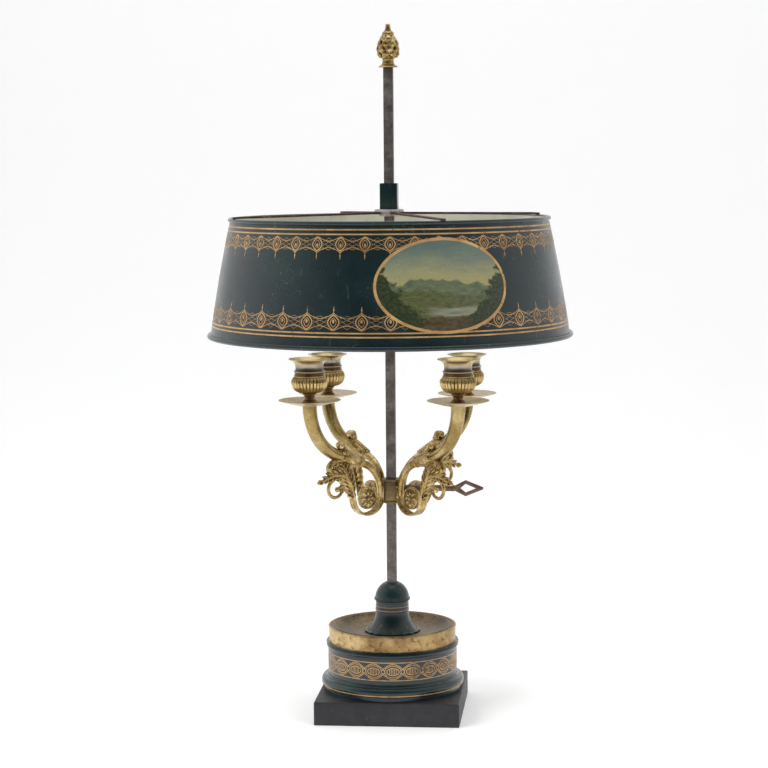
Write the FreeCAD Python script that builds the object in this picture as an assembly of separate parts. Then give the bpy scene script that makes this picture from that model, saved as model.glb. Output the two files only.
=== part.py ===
import FreeCAD, Part
import math
import os

os.makedirs("parts", exist_ok=True)
V = FreeCAD.Vector
UP = V(0, 0, 1)

# Driving dimensions, mm. The lamp stands on z = 0 with the rod on the Z axis.

# Clearances
running_gap = 0.15       # sliding sleeve or collar to the square rod, each side
shaft_gap = 0.05         # round pin in its own hole, radial
nest_gap = 0.1           # one turned sheet inside another, radial

# Plinth
plinth_side = 138.0
plinth_height = 22.4
plinth_edge = 0.8
nut_pocket_radius = 13.0
nut_pocket_depth = 11.0

# Drum and its foot
drum_radius = 62.4
drum_wall = 1.2
foot_height = 15.6       # from the plinth to the drum wall
foot_roll_radius = 69.0
foot_seat_radius = 66.0
drum_height = 25.5       # plain wall between foot and bead
bead_height = 5.3
bead_radius = 64.2
spigot_height = 4.0

# Gallery and tray
gallery_radius = 61.3
gallery_wall = 1.1
gallery_height = 15.2
tray_sheet = 1.2
tray_floor_drop = 6.6    # tray floor below the gallery's edge
tray_floor_radius = 47.5
tray_lip_width = 4.2

# Bell-shaped boss
boss_height = 47.5
boss_base_radius = 25.0
boss_neck_radius = 15.8
boss_ring_radius = 17.1
boss_dome_radius = 16.4
boss_top_radius = 7.6
boss_ring_height = 32.0
boss_socket_depth = 15.0
boss_scallops = 18
scallop_radius = 4.6

# Square rod with its round tang
rod_side = 9.0
rod_top = 619.0
tang_radius = 4.0
tang_end = 2.5           # free end of the tang above the table
stud_radius = 2.5
stud_length = 9.0
spacer_radius = 10.0
washer_radius = 11.5
washer_thickness = 2.0
nut_across_flats = 13.0
nut_height = 6.0

# Finial
finial_height = 41.0
finial_foot_radius = 8.6
finial_bud_radius = 10.4
finial_rows = ((0, 0.36, 9.3, 3.5), (1, 0.50, 8.6, 3.3), (0, 0.64, 6.6, 3.0), (1, 0.76, 4.6, 2.6))
finial_leaves = 7

# Collar that carries the four arms
collar_side = 17.0
collar_bottom = 203.5    # collar's lower face above the table, where the photograph shows it
collar_height = 23.1
collar_corner = 3.5      # flat cut on each corner where an arm seats

# Arms, in the plane of one arm: u outwards from the rod, z up from the collar's lower face
arm_reach = 98.0
front_pan_rise = 101.1
rear_pan_rise = 93.0
sleeve_end = (61.0, 50.5)
horn_start_angle = 10.0  # degrees along the horn's quarter ellipse
branch_radius = 4.5
horn_root_radius = 5.6
horn_top_radius = 6.75
sleeve_radius = 7.4
scroll_width = 9.0
volute_radius = 16.5
volute_band = 4.0
volute_u = 30.4
volute_z = 7.0
rosette_radius = 9.2
rosette_petals = 8
leaf_width = 7.0
leaf_u = 44.5            # lower inner corner of the carved leaf
leaf_z = 2.5
leaf_reach = 45.0
leaf_height = 43.0
ridge_teeth = 7
ridge_width = 2.6
tendril_u = 69.0
tendril_z = 19.1
tendril_radius = 7.6
tendril_wire = 1.5
curl_radius = 4.0
bud_radius = 2.5
arch_radius = 1.9

# Drip pans and candle nozzles
pan_radius = 29.0
pan_centre = 3.9         # thickness where the nozzle stands
pan_edge = 0.6
pan_rise = 5.2           # underside of the edge above the horn's top
nozzle_height = 40.5
nozzle_rim_radius = 19.2
nozzle_neck_radius = 12.9
nozzle_band_radius = 13.8
nozzle_bulb_radius = 16.2
nozzle_stem_radius = 5.2
nozzle_foot_radius = 7.0
nozzle_stem_height = 7.6
nozzle_bulb_height = 15.2
nozzle_band_height = 4.8
candle_radius = 11.0
candle_depth = 26.5
gadroons = 30
gadroon_depth = 1.5
screw_radius = 2.5
screw_head_radius = 4.4
screw_head_height = 2.4
screw_grip = 12.0        # length of the cup screw inside the horn

# Thumb screw
thumb_rise = 14.0        # above the collar's lower face
thumb_radius = 3.0
thumb_shaft_end = 61.0
thumb_loop_length = 27.0
thumb_loop_height = 15.4
thumb_loop_thickness = 4.0
thumb_loop_bar = 3.4

# Shade
shade_bottom = 364.4
shade_top = 478.4
shade_bottom_radius = 174.8
shade_top_radius = 153.6
shade_sheet = 1.0
shade_belly = 1.2
bottom_roll = 2.3        # radius of the edge, rolled outwards round its wire
top_roll = 1.8
roll_sheet = 0.8
roll_lap = 0.3           # how far the wall's inner face runs into its roll
spider_arms = 4
spider_turn = 23.6       # degrees from +X to the first spider arm
spider_width = 5.0
spider_thickness = 2.0
hub_flange_radius = 13.9
hub_ring_radius = 9.6
hub_ring_height = 4.0
hub_flange_height = 2.6
hub_drop = 4.4           # spider's fall from hub to rim
shade_sleeve_side = 16.7
shade_sleeve_wall = 2.2
shade_sleeve_height = 24.6
spring_sheet = 0.7

arm_angles = {"front_left": 225.0, "front_right": 315.0, "rear_left": 135.0, "rear_right": 45.0}


def outline(points):
    # Closed wire in the XZ plane: (x, z) draws a line, (mid x, mid z, x, z) an arc.
    edges = []
    here = V(points[0][0], 0, points[0][-1])
    first = here
    for step in points[1:] + [points[0]]:
        there = V(step[-2], 0, step[-1])
        if (there - here).Length < 1e-6:
            continue
        if len(step) == 4:
            middle = V(step[0], 0, step[1])
            edges.append(Part.Arc(here, middle, there).toShape())
        else:
            edges.append(Part.LineSegment(here, there).toShape())
        here = there
    if (here - first).Length > 1e-6:
        edges.append(Part.LineSegment(here, first).toShape())
    return Part.Wire(edges)


def turned(points):
    return Part.Face(outline(points)).revolve(V(0, 0, 0), UP, 360)


def plate(points, width):
    face = Part.Face(outline(points))
    face.translate(V(0, -width / 2, 0))
    return face.extrude(V(0, width, 0))


def cylinder(radius, bottom, top):
    return Part.makeCylinder(radius, top - bottom, V(0, 0, bottom), UP)


def square_bar(side, bottom, top):
    return Part.makeBox(side, side, top - bottom, V(-side / 2, -side / 2, bottom))


def tube_along(points, radii):
    # Round bar of changing radius through points of the XZ plane.
    path = Part.BSplineCurve()
    path.interpolate([V(u, 0, z) for u, z in points])
    rings = []
    for (u, z), radius in zip(points, radii):
        where = V(u, 0, z)
        heading = path.tangent(path.parameter(where))[0]
        rings.append(Part.Wire([Part.Circle(where, heading, radius).toShape()]))
    return Part.makeLoft(rings, True, False)


def fused(shapes):
    whole = shapes[0].multiFuse(shapes[1:])
    return whole.removeSplitter()


def save(name, shape):
    shape.exportStep("parts/" + name + ".step")


foot_top = plinth_height + foot_height
drum_top = foot_top + drum_height
bead_top = drum_top + bead_height
gallery_top = bead_top + gallery_height
tray_floor = gallery_top - tray_floor_drop
boss_top = tray_floor + boss_height
thumb_height = collar_bottom + thumb_rise
socket_floor = boss_top - boss_socket_depth


def plinth():
    block = Part.makeBox(plinth_side, plinth_side, plinth_height,
                         V(-plinth_side / 2, -plinth_side / 2, 0))
    rims = [edge for edge in block.Edges if edge.CenterOfMass.z > 0.1]
    block = block.makeChamfer(plinth_edge, rims)
    pocket = cylinder(nut_pocket_radius, -1, nut_pocket_depth)
    return block.cut(pocket.fuse(cylinder(tang_radius + 0.4, -1, plinth_height + 1)))


def foot_ring():
    inner = drum_radius - drum_wall - nest_gap
    low = plinth_height
    roll_low = low + 5.4
    roll_mid = low + 9.0
    roll_top = low + 12.6
    return turned([
        (inner - 3, low),
        (foot_seat_radius, low),
        (foot_seat_radius, low + 4.2),
        (foot_roll_radius - 1.4, roll_low),
        (foot_roll_radius, roll_mid, foot_roll_radius - 2.2, roll_top),
        (drum_radius + 1.1, foot_top - 1.6, drum_radius + 0.5, foot_top),
        (inner, foot_top),
        (inner, foot_top + spigot_height),
        (inner - 1.2, foot_top + spigot_height),
        (inner - 3, foot_top - 3),
    ])


def base_drum():
    inner = drum_radius - drum_wall
    return turned([(inner, foot_top), (drum_radius, foot_top), (drum_radius, drum_top), (inner, drum_top)])


def drum_bead():
    inner = drum_radius - drum_wall - nest_gap
    tip = bead_top - 0.7
    return turned([
        (inner, drum_top),
        (drum_radius, drum_top),
        (drum_radius + 1.6, drum_top + 1.6, bead_radius - 1.0, tip - 0.6),
        (bead_radius, tip),
        (bead_radius - 0.3, bead_top),
        (inner - 1.2, bead_top),
        (inner - 1.2, drum_top - spigot_height),
        (inner, drum_top - spigot_height),
    ])


def brass_gallery():
    inner = gallery_radius - gallery_wall
    return turned([
        (inner, bead_top),
        (gallery_radius, bead_top),
        (gallery_radius, gallery_top - 1.4),
        (gallery_radius + 0.7, gallery_top - 0.8, gallery_radius, gallery_top),
        (inner, gallery_top - 0.2),
    ])


def tray():
    outer = gallery_radius - gallery_wall - nest_gap
    lip_top = gallery_top - 0.5
    lip_inner = outer - tray_lip_width
    hole = tang_radius + 0.4
    return turned([
        (outer, bead_top),
        (outer, lip_top),
        (outer - 0.8, lip_top + 0.4, outer - 1.6, lip_top),
        (lip_inner + 0.8, lip_top - 0.5),
        (lip_inner, lip_top + 0.3, lip_inner - 0.9, lip_top - 0.4),
        (tray_floor_radius + 1.4, tray_floor + 0.8, tray_floor_radius, tray_floor),
        (hole, tray_floor),
        (hole, tray_floor - tray_sheet),
        (tray_floor_radius + 0.6, tray_floor - tray_sheet),
        (lip_inner - 0.6, lip_top - 1.9),
        (outer - tray_sheet, lip_top - 1.9),
        (outer - tray_sheet, bead_top),
    ])


def base_spacer():
    top = tray_floor - tray_sheet
    return cylinder(spacer_radius, plinth_height, top).cut(
        cylinder(tang_radius + 0.4, plinth_height - 1, top + 1))


def stem_boss():
    low = tray_floor
    flange = low + 1.0
    ring = low + boss_ring_height
    dome = ring + 1.7
    bell = turned([
        (0, low),
        (boss_base_radius, low),
        (boss_base_radius, flange),
        (boss_neck_radius + 2.6, low + 9.5, boss_neck_radius + 0.4, low + 22.5),
        (boss_neck_radius, ring - 1.6),
        (boss_ring_radius + 0.5, ring, boss_dome_radius, dome),
        (boss_dome_radius - 2.4, boss_top - 6.2, boss_top_radius, boss_top),
        (0, boss_top),
    ])
    reach = boss_base_radius - scallop_radius / 2
    scallops = []
    for index in range(boss_scallops):
        turn = math.radians(360 * index / boss_scallops)
        centre = V(reach * math.cos(turn), reach * math.sin(turn), low)
        scallops.append(Part.makeCylinder(scallop_radius, flange - low, centre, UP))
    bell = fused([bell] + scallops)
    socket = square_bar(rod_side + 2 * shaft_gap, socket_floor, boss_top + 1)
    return bell.cut(socket.fuse(cylinder(tang_radius + shaft_gap, low - 1, boss_top)))


def stem_rod():
    bar = square_bar(rod_side, socket_floor, rod_top)
    tang = cylinder(tang_radius, tang_end, socket_floor + 1)
    stud = cylinder(stud_radius, rod_top - 1, rod_top + stud_length)
    return fused([bar, tang, stud])


def base_washer():
    top = nut_pocket_depth
    return cylinder(washer_radius, top - washer_thickness, top).cut(
        cylinder(tang_radius + 0.3, top - washer_thickness - 1, top + 1))


def base_nut():
    top = nut_pocket_depth - washer_thickness
    corner = nut_across_flats / 2 / math.cos(math.radians(30))
    hexagon = []
    for index in range(7):
        turn = math.radians(60 * index)
        hexagon.append(V(corner * math.cos(turn), corner * math.sin(turn), top - nut_height))
    body = Part.Face(Part.makePolygon(hexagon)).extrude(V(0, 0, nut_height))
    return body.cut(cylinder(tang_radius + shaft_gap, 0, top + 1))


def pointed_leaf(size):
    # Eight-faced leaf, its tip up and its crown outwards along X.
    tip = V(-size * 0.15, 0, size * 1.9)
    root = V(-size * 0.45, 0, -size)
    crown = V(size * 0.75, 0, 0)
    back = V(-size, 0, 0)
    left = V(0, size * 0.95, 0)
    right = V(0, -size * 0.95, 0)
    faces = []
    for first, second in ((crown, left), (left, back), (back, right), (right, crown)):
        faces.append(Part.Face(Part.makePolygon([first, second, tip, first])))
        faces.append(Part.Face(Part.makePolygon([second, first, root, second])))
    return Part.makeSolid(Part.makeShell(faces))


def finial():
    low = rod_top
    top = low + finial_height

    def level(share):
        return low + share * finial_height

    core = turned([
        (0, low),
        (finial_foot_radius, low),
        (finial_foot_radius + 0.6, low + 0.7, finial_foot_radius, low + 1.4),
        (6.0, level(0.08), 5.3, level(0.14)),
        (5.6, level(0.20)),
        (7.4, level(0.235), 7.0, level(0.27)),
        (finial_bud_radius - 0.6, level(0.42), 7.4, level(0.60)),
        (5.0, level(0.76), 3.2, level(0.90)),
        (3.0, level(0.95)),
        (2.6, level(0.985), 1.2, top),
        (0, top),
    ])
    leaves = []
    for shift, share, reach, size in finial_rows:
        for index in range(finial_leaves):
            leaf = pointed_leaf(size)
            leaf.translate(V(reach - size * 0.35, 0, level(share)))
            leaf.rotate(V(0, 0, 0), UP, 360 * (index + shift / 2) / finial_leaves)
            leaves.append(leaf)
    bud = core.multiFuse(leaves)
    return bud.cut(cylinder(stud_radius + shaft_gap, low - 1, low + stud_length + 0.5))


def collar():
    top = collar_bottom + collar_height
    block = square_bar(collar_side, collar_bottom, top)
    corners = [edge for edge in block.Edges if abs(edge.CenterOfMass.x) > 1 and abs(edge.CenterOfMass.y) > 1]
    block = block.makeChamfer(collar_corner, corners)
    waist = top - 1.8
    groove = square_bar(collar_side + 2, waist - 0.8, waist).cut(
        square_bar(collar_side - 1.2, waist - 2, waist + 2))
    lower = groove.copy()
    lower.translate(V(0, 0, -(collar_height - 4.4)))
    bore = square_bar(rod_side + 2 * running_gap, collar_bottom - 1, top + 1)
    thread = Part.makeCylinder(thumb_radius + shaft_gap, collar_side, V(0, 0, thumb_height), V(1, 0, 0))
    return block.cut(bore.fuse(thread)).cut(groove.fuse(lower))


def thumb_screw():
    tip = rod_side / 2 + shaft_gap * 2
    along = V(1, 0, 0)
    shaft = Part.makeCylinder(thumb_radius, thumb_shaft_end - tip, V(tip, 0, thumb_height), along)
    neck = Part.makeCone(thumb_radius, thumb_loop_thickness * 0.8, 5, V(thumb_shaft_end - 5, 0, thumb_height),
                         along)
    left = thumb_shaft_end - 1
    right = thumb_shaft_end + thumb_loop_length
    middle = left + (right - left) * 0.42
    half = thumb_loop_height / 2
    bar = thumb_loop_bar
    loop = plate([
        (left, thumb_height - 1.6),
        (middle, thumb_height - half),
        (right, thumb_height - 1.2),
        (right + 0.8, thumb_height, right, thumb_height + 1.2),
        (middle, thumb_height + half),
        (left, thumb_height + 1.6),
    ], thumb_loop_thickness)
    hole = plate([
        (left + bar * 1.9, thumb_height),
        (middle, thumb_height - half + bar),
        (right - bar * 1.7, thumb_height),
        (middle, thumb_height + half - bar),
    ], thumb_loop_thickness + 2)
    return fused([shaft, neck, loop.cut(hole)])


collar_face = collar_side / math.sqrt(2) - collar_corner / math.sqrt(2)
collar_flat = collar_corner * math.sqrt(2)
branch_points = [(14.2, 15.5), (16.6, 25.0), (23.8, 34.7), (34.7, 41.1), (48.0, 45.5), sleeve_end]


def beyond_sleeve(along, up):
    return sleeve_end[0] + along, sleeve_end[1] + up


def lobed_leaf():
    # Carved leaf: from the volute up to the sleeve, with its tip turned outwards as a beak. Drawn in shares of
    # its reach and height.
    shares = [
        (0, 0),
        (0.11, 0.12, 0.20, 0.24),
        (0.29, 0.27, 0.36, 0.37),
        (0.44, 0.39, 0.53, 0.50),
        (0.70, 0.48, 0.86, 0.54),
        (0.96, 0.57, 1.00, 0.65),
        (0.93, 0.70, 0.84, 0.68),
        (0.74, 0.67, 0.69, 0.72),
        (0.64, 0.79, 0.53, 0.80),
        (0.48, 0.85, 0.39, 0.80),
        (0.33, 0.83, 0.29, 0.74),
        (0.22, 0.71, 0.20, 0.80),
        (0.18, 0.93, 0.14, 1.00),
        (0.01, 0.97),
        (0.02, 0.74, -0.01, 0.58),
        (-0.04, 0.42, -0.02, 0.23),
    ]
    points = []
    for share in shares:
        point = []
        for index, value in enumerate(share):
            start, size = ((leaf_u, leaf_reach), (leaf_z, leaf_height))[index % 2]
            point.append(start + value * size)
        points.append(tuple(point))
    return plate(points, leaf_width)


def scroll_casting():
    # Drawn with the collar's lower face on z = 0.
    centre = V(volute_u, 0, volute_z)
    across = V(0, 1, 0)

    def disc(radius, width):
        return Part.makeCylinder(radius, width, centre - across * (width / 2), across)

    band = disc(volute_radius, scroll_width).cut(disc(volute_radius - volute_band, scroll_width + 2))
    web = disc(volute_radius - volute_band + 0.5, scroll_width * 0.4)
    rosette = disc(rosette_radius, scroll_width * 0.7)
    petals = []
    for index in range(rosette_petals):
        turn = math.radians(360 * index / rosette_petals)
        reach = rosette_radius * 0.66
        petal = Part.makeCylinder(rosette_radius * 0.27, scroll_width * 0.86,
                                  V(volute_u + reach * math.cos(turn), -scroll_width * 0.43,
                                    volute_z + reach * math.sin(turn)), across)
        petals.append(petal)
    eye = disc(rosette_radius * 0.26, scroll_width)
    volute = fused([band, web, rosette, eye] + petals)

    seat = collar_flat - 0.2
    root = Part.makeBox(branch_points[0][0] - collar_face + 3.4, seat, collar_height * 0.74,
                        V(collar_face, -seat / 2, collar_height * 0.11))
    thicken = branch_radius * 0.08
    branch = tube_along(branch_points, [branch_radius, branch_radius, branch_radius, branch_radius + thicken,
                                        horn_root_radius - thicken, horn_root_radius])
    sleeve = tube_along(branch_points[2:], [branch_radius + 0.4, sleeve_radius - 1.2, sleeve_radius,
                                            sleeve_radius - 0.6])

    start = beyond_sleeve(-28.0, -4.0)
    pitch = (-start[0] + sleeve_end[0] - 1.0, sleeve_end[1] + 10.0 - start[1])
    teeth = []
    left = start
    for index in range(ridge_teeth):
        share = (index + 1) / ridge_teeth
        right = (start[0] + pitch[0] * share, start[1] + pitch[1] * share)
        teeth.append(((left[0] + right[0]) / 2 - 0.8, (left[1] + right[1]) / 2 + 1.4, right[0], right[1]))
        left = right
    ridge = plate([start] + teeth + [beyond_sleeve(2.0, 0), beyond_sleeve(-27.0, -11.0)], ridge_width)
    curl_centre = beyond_sleeve(0.5, 9.0)
    curl = Part.makeSphere(curl_radius, V(curl_centre[0], 0, curl_centre[1]))
    stalk = tube_along([beyond_sleeve(-7.0, 2.0), beyond_sleeve(-4.0, 5.5), beyond_sleeve(-1.0, 8.5)],
                       [curl_radius - 1.0, curl_radius - 1.2, curl_radius - 1.6])

    tendril = Part.makeTorus(tendril_radius, tendril_wire, V(tendril_u, 0, tendril_z), across)
    bud_at = (tendril_u - 2.4, tendril_z + 0.8)
    bud = Part.makeSphere(bud_radius, V(bud_at[0], 0, bud_at[1]))
    stem = tube_along([(tendril_u - tendril_radius, tendril_z - 1.1), (tendril_u - 5.0, tendril_z - 0.6), bud_at],
                      [tendril_wire] * 3)
    arch = tube_along([beyond_sleeve(-5.0, -4.5), beyond_sleeve(3.5, -6.6), beyond_sleeve(10.0, -7.2),
                       beyond_sleeve(13.6, -10.6), beyond_sleeve(11.5, -16.0)], [arch_radius] * 5)
    return fused([volute, root, branch, sleeve, lobed_leaf(), ridge, curl, stalk, tendril, stem, bud, arch])


def horn(rise):
    # Quarter ellipse from the sleeve's end to the pan, thickening upwards.
    low = math.radians(horn_start_angle)
    steps = 6
    points = []
    radii = []
    for step in range(steps + 1):
        turn = low + (math.pi / 2 - low) * step / steps
        along = (math.sin(turn) - math.sin(low)) / (1 - math.sin(low))
        up = (math.cos(low) - math.cos(turn)) / math.cos(low)
        points.append((sleeve_end[0] + (arm_reach - sleeve_end[0]) * along,
                       sleeve_end[1] + (rise - sleeve_end[1]) * up))
        radii.append(horn_root_radius + (horn_top_radius - horn_root_radius) * step / steps)
    body = tube_along(points, radii)
    reach = horn_top_radius * 2
    body = body.cut(Part.makeBox(reach * 2, reach * 2, reach, V(arm_reach - reach, -reach, rise)))
    hole = Part.makeCylinder(screw_radius + shaft_gap, screw_grip + 1, V(arm_reach, 0, rise - screw_grip), UP)
    return body.cut(hole)


def drip_pan():
    # Drawn with its underside on z = 0: a coned underside below a shallow dish.
    hole = screw_radius + shaft_gap
    seat = horn_top_radius + 1.2
    edge_top = pan_rise + pan_edge
    return turned([
        (hole, 0),
        (seat, 0),
        (pan_radius * 0.62, pan_rise * 0.42, pan_radius - 0.3, pan_rise),
        (pan_radius + 0.1, pan_rise + pan_edge / 2, pan_radius - 0.4, edge_top),
        (pan_radius * 0.7, pan_centre + 0.3, nozzle_foot_radius + 2.0, pan_centre),
        (hole, pan_centre),
    ])


def nozzle():
    # Drawn with its foot on z = 0.
    floor = nozzle_height - candle_depth
    bulb_low = nozzle_stem_height + 1.0
    bulb_high = bulb_low + nozzle_bulb_height
    band_high = bulb_high + nozzle_band_height
    flare_low = band_high + 3.2
    bore_top = nozzle_height - 8.1
    core = nozzle_bulb_radius - gadroon_depth - 0.3
    body = turned([
        (0, 0),
        (nozzle_foot_radius, 0),
        (nozzle_foot_radius, 1.2),
        (nozzle_stem_radius - 0.4, 3.4, nozzle_stem_radius + 0.6, nozzle_stem_height),
        (nozzle_stem_radius + 2.0, bulb_low),
        (core, bulb_low + nozzle_bulb_height * 0.32, core + 0.3, bulb_low + nozzle_bulb_height * 0.55),
        (core, bulb_low + nozzle_bulb_height * 0.82, nozzle_band_radius, bulb_high),
        (nozzle_band_radius + 0.2, band_high),
        (nozzle_neck_radius + 0.2, band_high + 0.6),
        (nozzle_neck_radius, flare_low),
        (nozzle_neck_radius + 1.4, nozzle_height - 3.6, nozzle_rim_radius - 0.4, nozzle_height - 0.9),
        (nozzle_rim_radius, nozzle_height - 0.5),
        (nozzle_rim_radius - 0.4, nozzle_height),
        (nozzle_rim_radius - 1.8, nozzle_height),
        (candle_radius + 1.5, nozzle_height - 4.2, candle_radius, bore_top),
        (0, bore_top),
    ])
    # Crest of each gadroon, as shares of the bulb's height and radius
    crests = ((0.03, 0.52), (0.20, 0.85), (0.48, 1.0), (0.74, 0.98), (0.95, 0.89))
    stars = []
    for share, swell in crests:
        crest = nozzle_bulb_radius * swell
        height = bulb_low + nozzle_bulb_height * share
        depth = gadroon_depth * math.sin(math.pi * (0.12 + 0.76 * share))
        star = []
        for index in range(2 * gadroons + 1):
            turn = math.radians(180 * index / gadroons)
            radius = crest if index % 2 else crest - depth
            star.append(V(radius * math.cos(turn), radius * math.sin(turn), height))
        stars.append(Part.makePolygon(star))
    ribs = Part.makeLoft(stars, True, True)
    body = body.fuse(ribs)
    bore = cylinder(candle_radius, floor, nozzle_height + 1)
    seat = cylinder(screw_head_radius + 0.3, floor - screw_head_height - 0.3, floor + 1)
    return body.cut(bore.fuse(seat)).cut(cylinder(screw_radius + shaft_gap, -1, floor))


def cup_screw():
    # Drawn in the nozzle's own heights, head down on its seat.
    seat = nozzle_height - candle_depth - screw_head_height - 0.3
    head = cylinder(screw_head_radius, seat, seat + screw_head_height)
    slot = Part.makeBox(screw_head_radius * 3, 1.0, 1.2,
                        V(-screw_head_radius * 1.5, -0.5, seat + screw_head_height - 1.0))
    shank = cylinder(screw_radius, -pan_centre - screw_grip + 0.8, seat + 1)
    return head.cut(slot).fuse(shank).removeSplitter()


low_ring = shade_bottom_radius - bottom_roll
low_level = shade_bottom + bottom_roll
high_ring = shade_top_radius - top_roll
high_level = shade_top - top_roll


def shade_wall():
    # One bellied cone that ends on its two rolls.
    bottom_in = low_ring - bottom_roll + roll_lap
    top_in = high_ring - top_roll + roll_lap
    middle_in = (bottom_in + top_in) / 2 + shade_belly
    middle_z = (low_level + high_level) / 2
    cone = turned([
        (bottom_in + shade_sheet, low_level),
        (middle_in + shade_sheet, middle_z, top_in + shade_sheet, high_level),
        (top_in, high_level),
        (middle_in, middle_z, bottom_in, low_level),
    ])
    low_bar = Part.makeTorus(low_ring, bottom_roll, V(0, 0, low_level), UP)
    high_bar = Part.makeTorus(high_ring, top_roll, V(0, 0, high_level), UP)
    return cone.cut(low_bar).cut(high_bar)


def rolled_edge(radius, height, size):
    centre = V(0, 0, height)
    return Part.makeTorus(radius, size, centre, UP).cut(Part.makeTorus(radius, size - roll_sheet, centre, UP))


def shade_wire(radius, height, size):
    return Part.makeTorus(radius, size - roll_sheet - nest_gap, V(0, 0, height), UP)


spider_end = shade_top + 0.05
hub_level = spider_end + hub_drop
flange_top = hub_level + hub_flange_height


def spider_arm(index):
    inner = hub_ring_radius + 0.05
    bar = plate([
        (inner, hub_level - spider_thickness),
        (high_ring, spider_end),
        (high_ring + top_roll, spider_end - 0.1),
        (high_ring + top_roll, spider_end + spider_thickness - 0.4),
        (high_ring - 6, spider_end + spider_thickness),
        (inner, hub_level),
    ], spider_width)
    bar.rotate(V(0, 0, 0), UP, spider_turn + 360 * index / spider_arms)
    return bar


def spider_hub():
    low = hub_level - hub_ring_height
    body = turned([
        (0, low),
        (hub_ring_radius, low),
        (hub_ring_radius, hub_level),
        (hub_flange_radius, hub_level),
        (hub_flange_radius + 0.2, hub_level + 0.8, hub_flange_radius - 1.6, flange_top),
        (0, flange_top),
    ])
    return body.cut(square_bar(rod_side + 2 * running_gap, low - 1, flange_top + 1))


def shade_sleeve():
    top = flange_top + shade_sleeve_height
    tube = square_bar(shade_sleeve_side, flange_top, top)
    tall = [edge for edge in tube.Edges if abs(edge.CenterOfMass.x) > 1 and abs(edge.CenterOfMass.y) > 1]
    tube = tube.makeFillet(1.2, tall)
    return tube.cut(square_bar(shade_sleeve_side - 2 * shade_sleeve_wall, flange_top - 1, top + 1))


def sleeve_spring():
    # Bowed strip on the sleeve's right wall, its crown against the rod.
    wall = shade_sleeve_side / 2 - shade_sleeve_wall
    crown = rod_side / 2 + shaft_gap
    low = flange_top + 1.0
    high = flange_top + shade_sleeve_height - 1.0
    middle = (low + high) / 2
    return plate([
        (wall, low),
        (crown, middle, wall, high),
        (wall, high - 1.6),
        (crown + spring_sheet, middle, wall, low + 1.6),
    ], rod_side * 0.7)


save("plinth", plinth())
save("foot_ring", foot_ring())
save("base_drum", base_drum())
save("drum_bead", drum_bead())
save("brass_gallery", brass_gallery())
save("tray", tray())
save("base_spacer", base_spacer())
save("base_washer", base_washer())
save("base_nut", base_nut())
save("stem_boss", stem_boss())
save("stem_rod", stem_rod())
save("finial", finial())
save("collar", collar())
save("thumb_screw", thumb_screw())

casting = scroll_casting()
castings = {}
for rise in (front_pan_rise, rear_pan_rise):
    castings[rise] = casting.cut(horn(rise))
pan = drip_pan()
cup = nozzle()
screw = cup_screw()
screws = []
for place, angle in arm_angles.items():
    rise = front_pan_rise if place.startswith("front") else rear_pan_rise
    pan_move = V(arm_reach, 0, rise)
    cup_move = V(arm_reach, 0, rise + pan_centre)
    pieces = {
        "arm_" + place: castings[rise].copy(),
        "horn_" + place: horn(rise),
        "drip_pan_" + place: pan.copy(),
        "nozzle_" + place: cup.copy(),
        "screw": screw.copy(),
    }
    for name, piece in pieces.items():
        if name.startswith("drip"):
            piece.translate(pan_move)
        if name.startswith("nozzle") or name == "screw":
            piece.translate(cup_move)
        piece.translate(V(0, 0, collar_bottom))
        piece.rotate(V(0, 0, 0), UP, angle)
        if name == "screw":
            screws.append(piece)
        else:
            save(name, piece)
save("cup_screws", Part.makeCompound(screws))

save("shade_wall", shade_wall())
save("shade_bottom_roll", rolled_edge(low_ring, low_level, bottom_roll))
save("shade_top_roll", rolled_edge(high_ring, high_level, top_roll))
save("shade_bottom_wire", shade_wire(low_ring, low_level, bottom_roll))
save("shade_top_wire", shade_wire(high_ring, high_level, top_roll))
for index in range(spider_arms):
    save("spider_arm_%d" % (index + 1), spider_arm(index))
save("spider_hub", spider_hub())
save("shade_sleeve", shade_sleeve())
save("sleeve_spring", sleeve_spring())
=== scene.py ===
import bmesh
import bpy
import math
from mathutils import Matrix, Vector


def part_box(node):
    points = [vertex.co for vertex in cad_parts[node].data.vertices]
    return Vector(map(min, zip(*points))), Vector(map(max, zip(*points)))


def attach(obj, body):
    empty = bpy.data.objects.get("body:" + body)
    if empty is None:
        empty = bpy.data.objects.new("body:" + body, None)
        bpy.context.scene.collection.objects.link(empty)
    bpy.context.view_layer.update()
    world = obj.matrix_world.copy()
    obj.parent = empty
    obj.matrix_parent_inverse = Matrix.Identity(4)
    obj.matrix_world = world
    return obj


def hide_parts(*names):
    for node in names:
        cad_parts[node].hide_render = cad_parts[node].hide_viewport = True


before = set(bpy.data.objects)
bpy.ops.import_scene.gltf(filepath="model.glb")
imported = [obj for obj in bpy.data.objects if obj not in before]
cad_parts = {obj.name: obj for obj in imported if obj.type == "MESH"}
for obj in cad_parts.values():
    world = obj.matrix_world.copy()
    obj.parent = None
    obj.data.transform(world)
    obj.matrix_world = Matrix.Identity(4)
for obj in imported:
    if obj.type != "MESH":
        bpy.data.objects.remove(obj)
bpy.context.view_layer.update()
mm = 0.001
places = {"front_left": 225.0, "front_right": 315.0, "rear_left": 135.0, "rear_right": 45.0}
patternStart = -84.4
print("frame loaded")


# shared mesh helpers, all in millimetres until the mesh is made

def makePiece(name, verts, faces):
    mesh = bpy.data.meshes.new(name)
    mesh.from_pydata([(x * mm, y * mm, z * mm) for x, y, z in verts], [], faces)
    mesh.update()
    piece = bpy.data.objects.new(name, mesh)
    bpy.context.scene.collection.objects.link(piece)
    return piece


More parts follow.
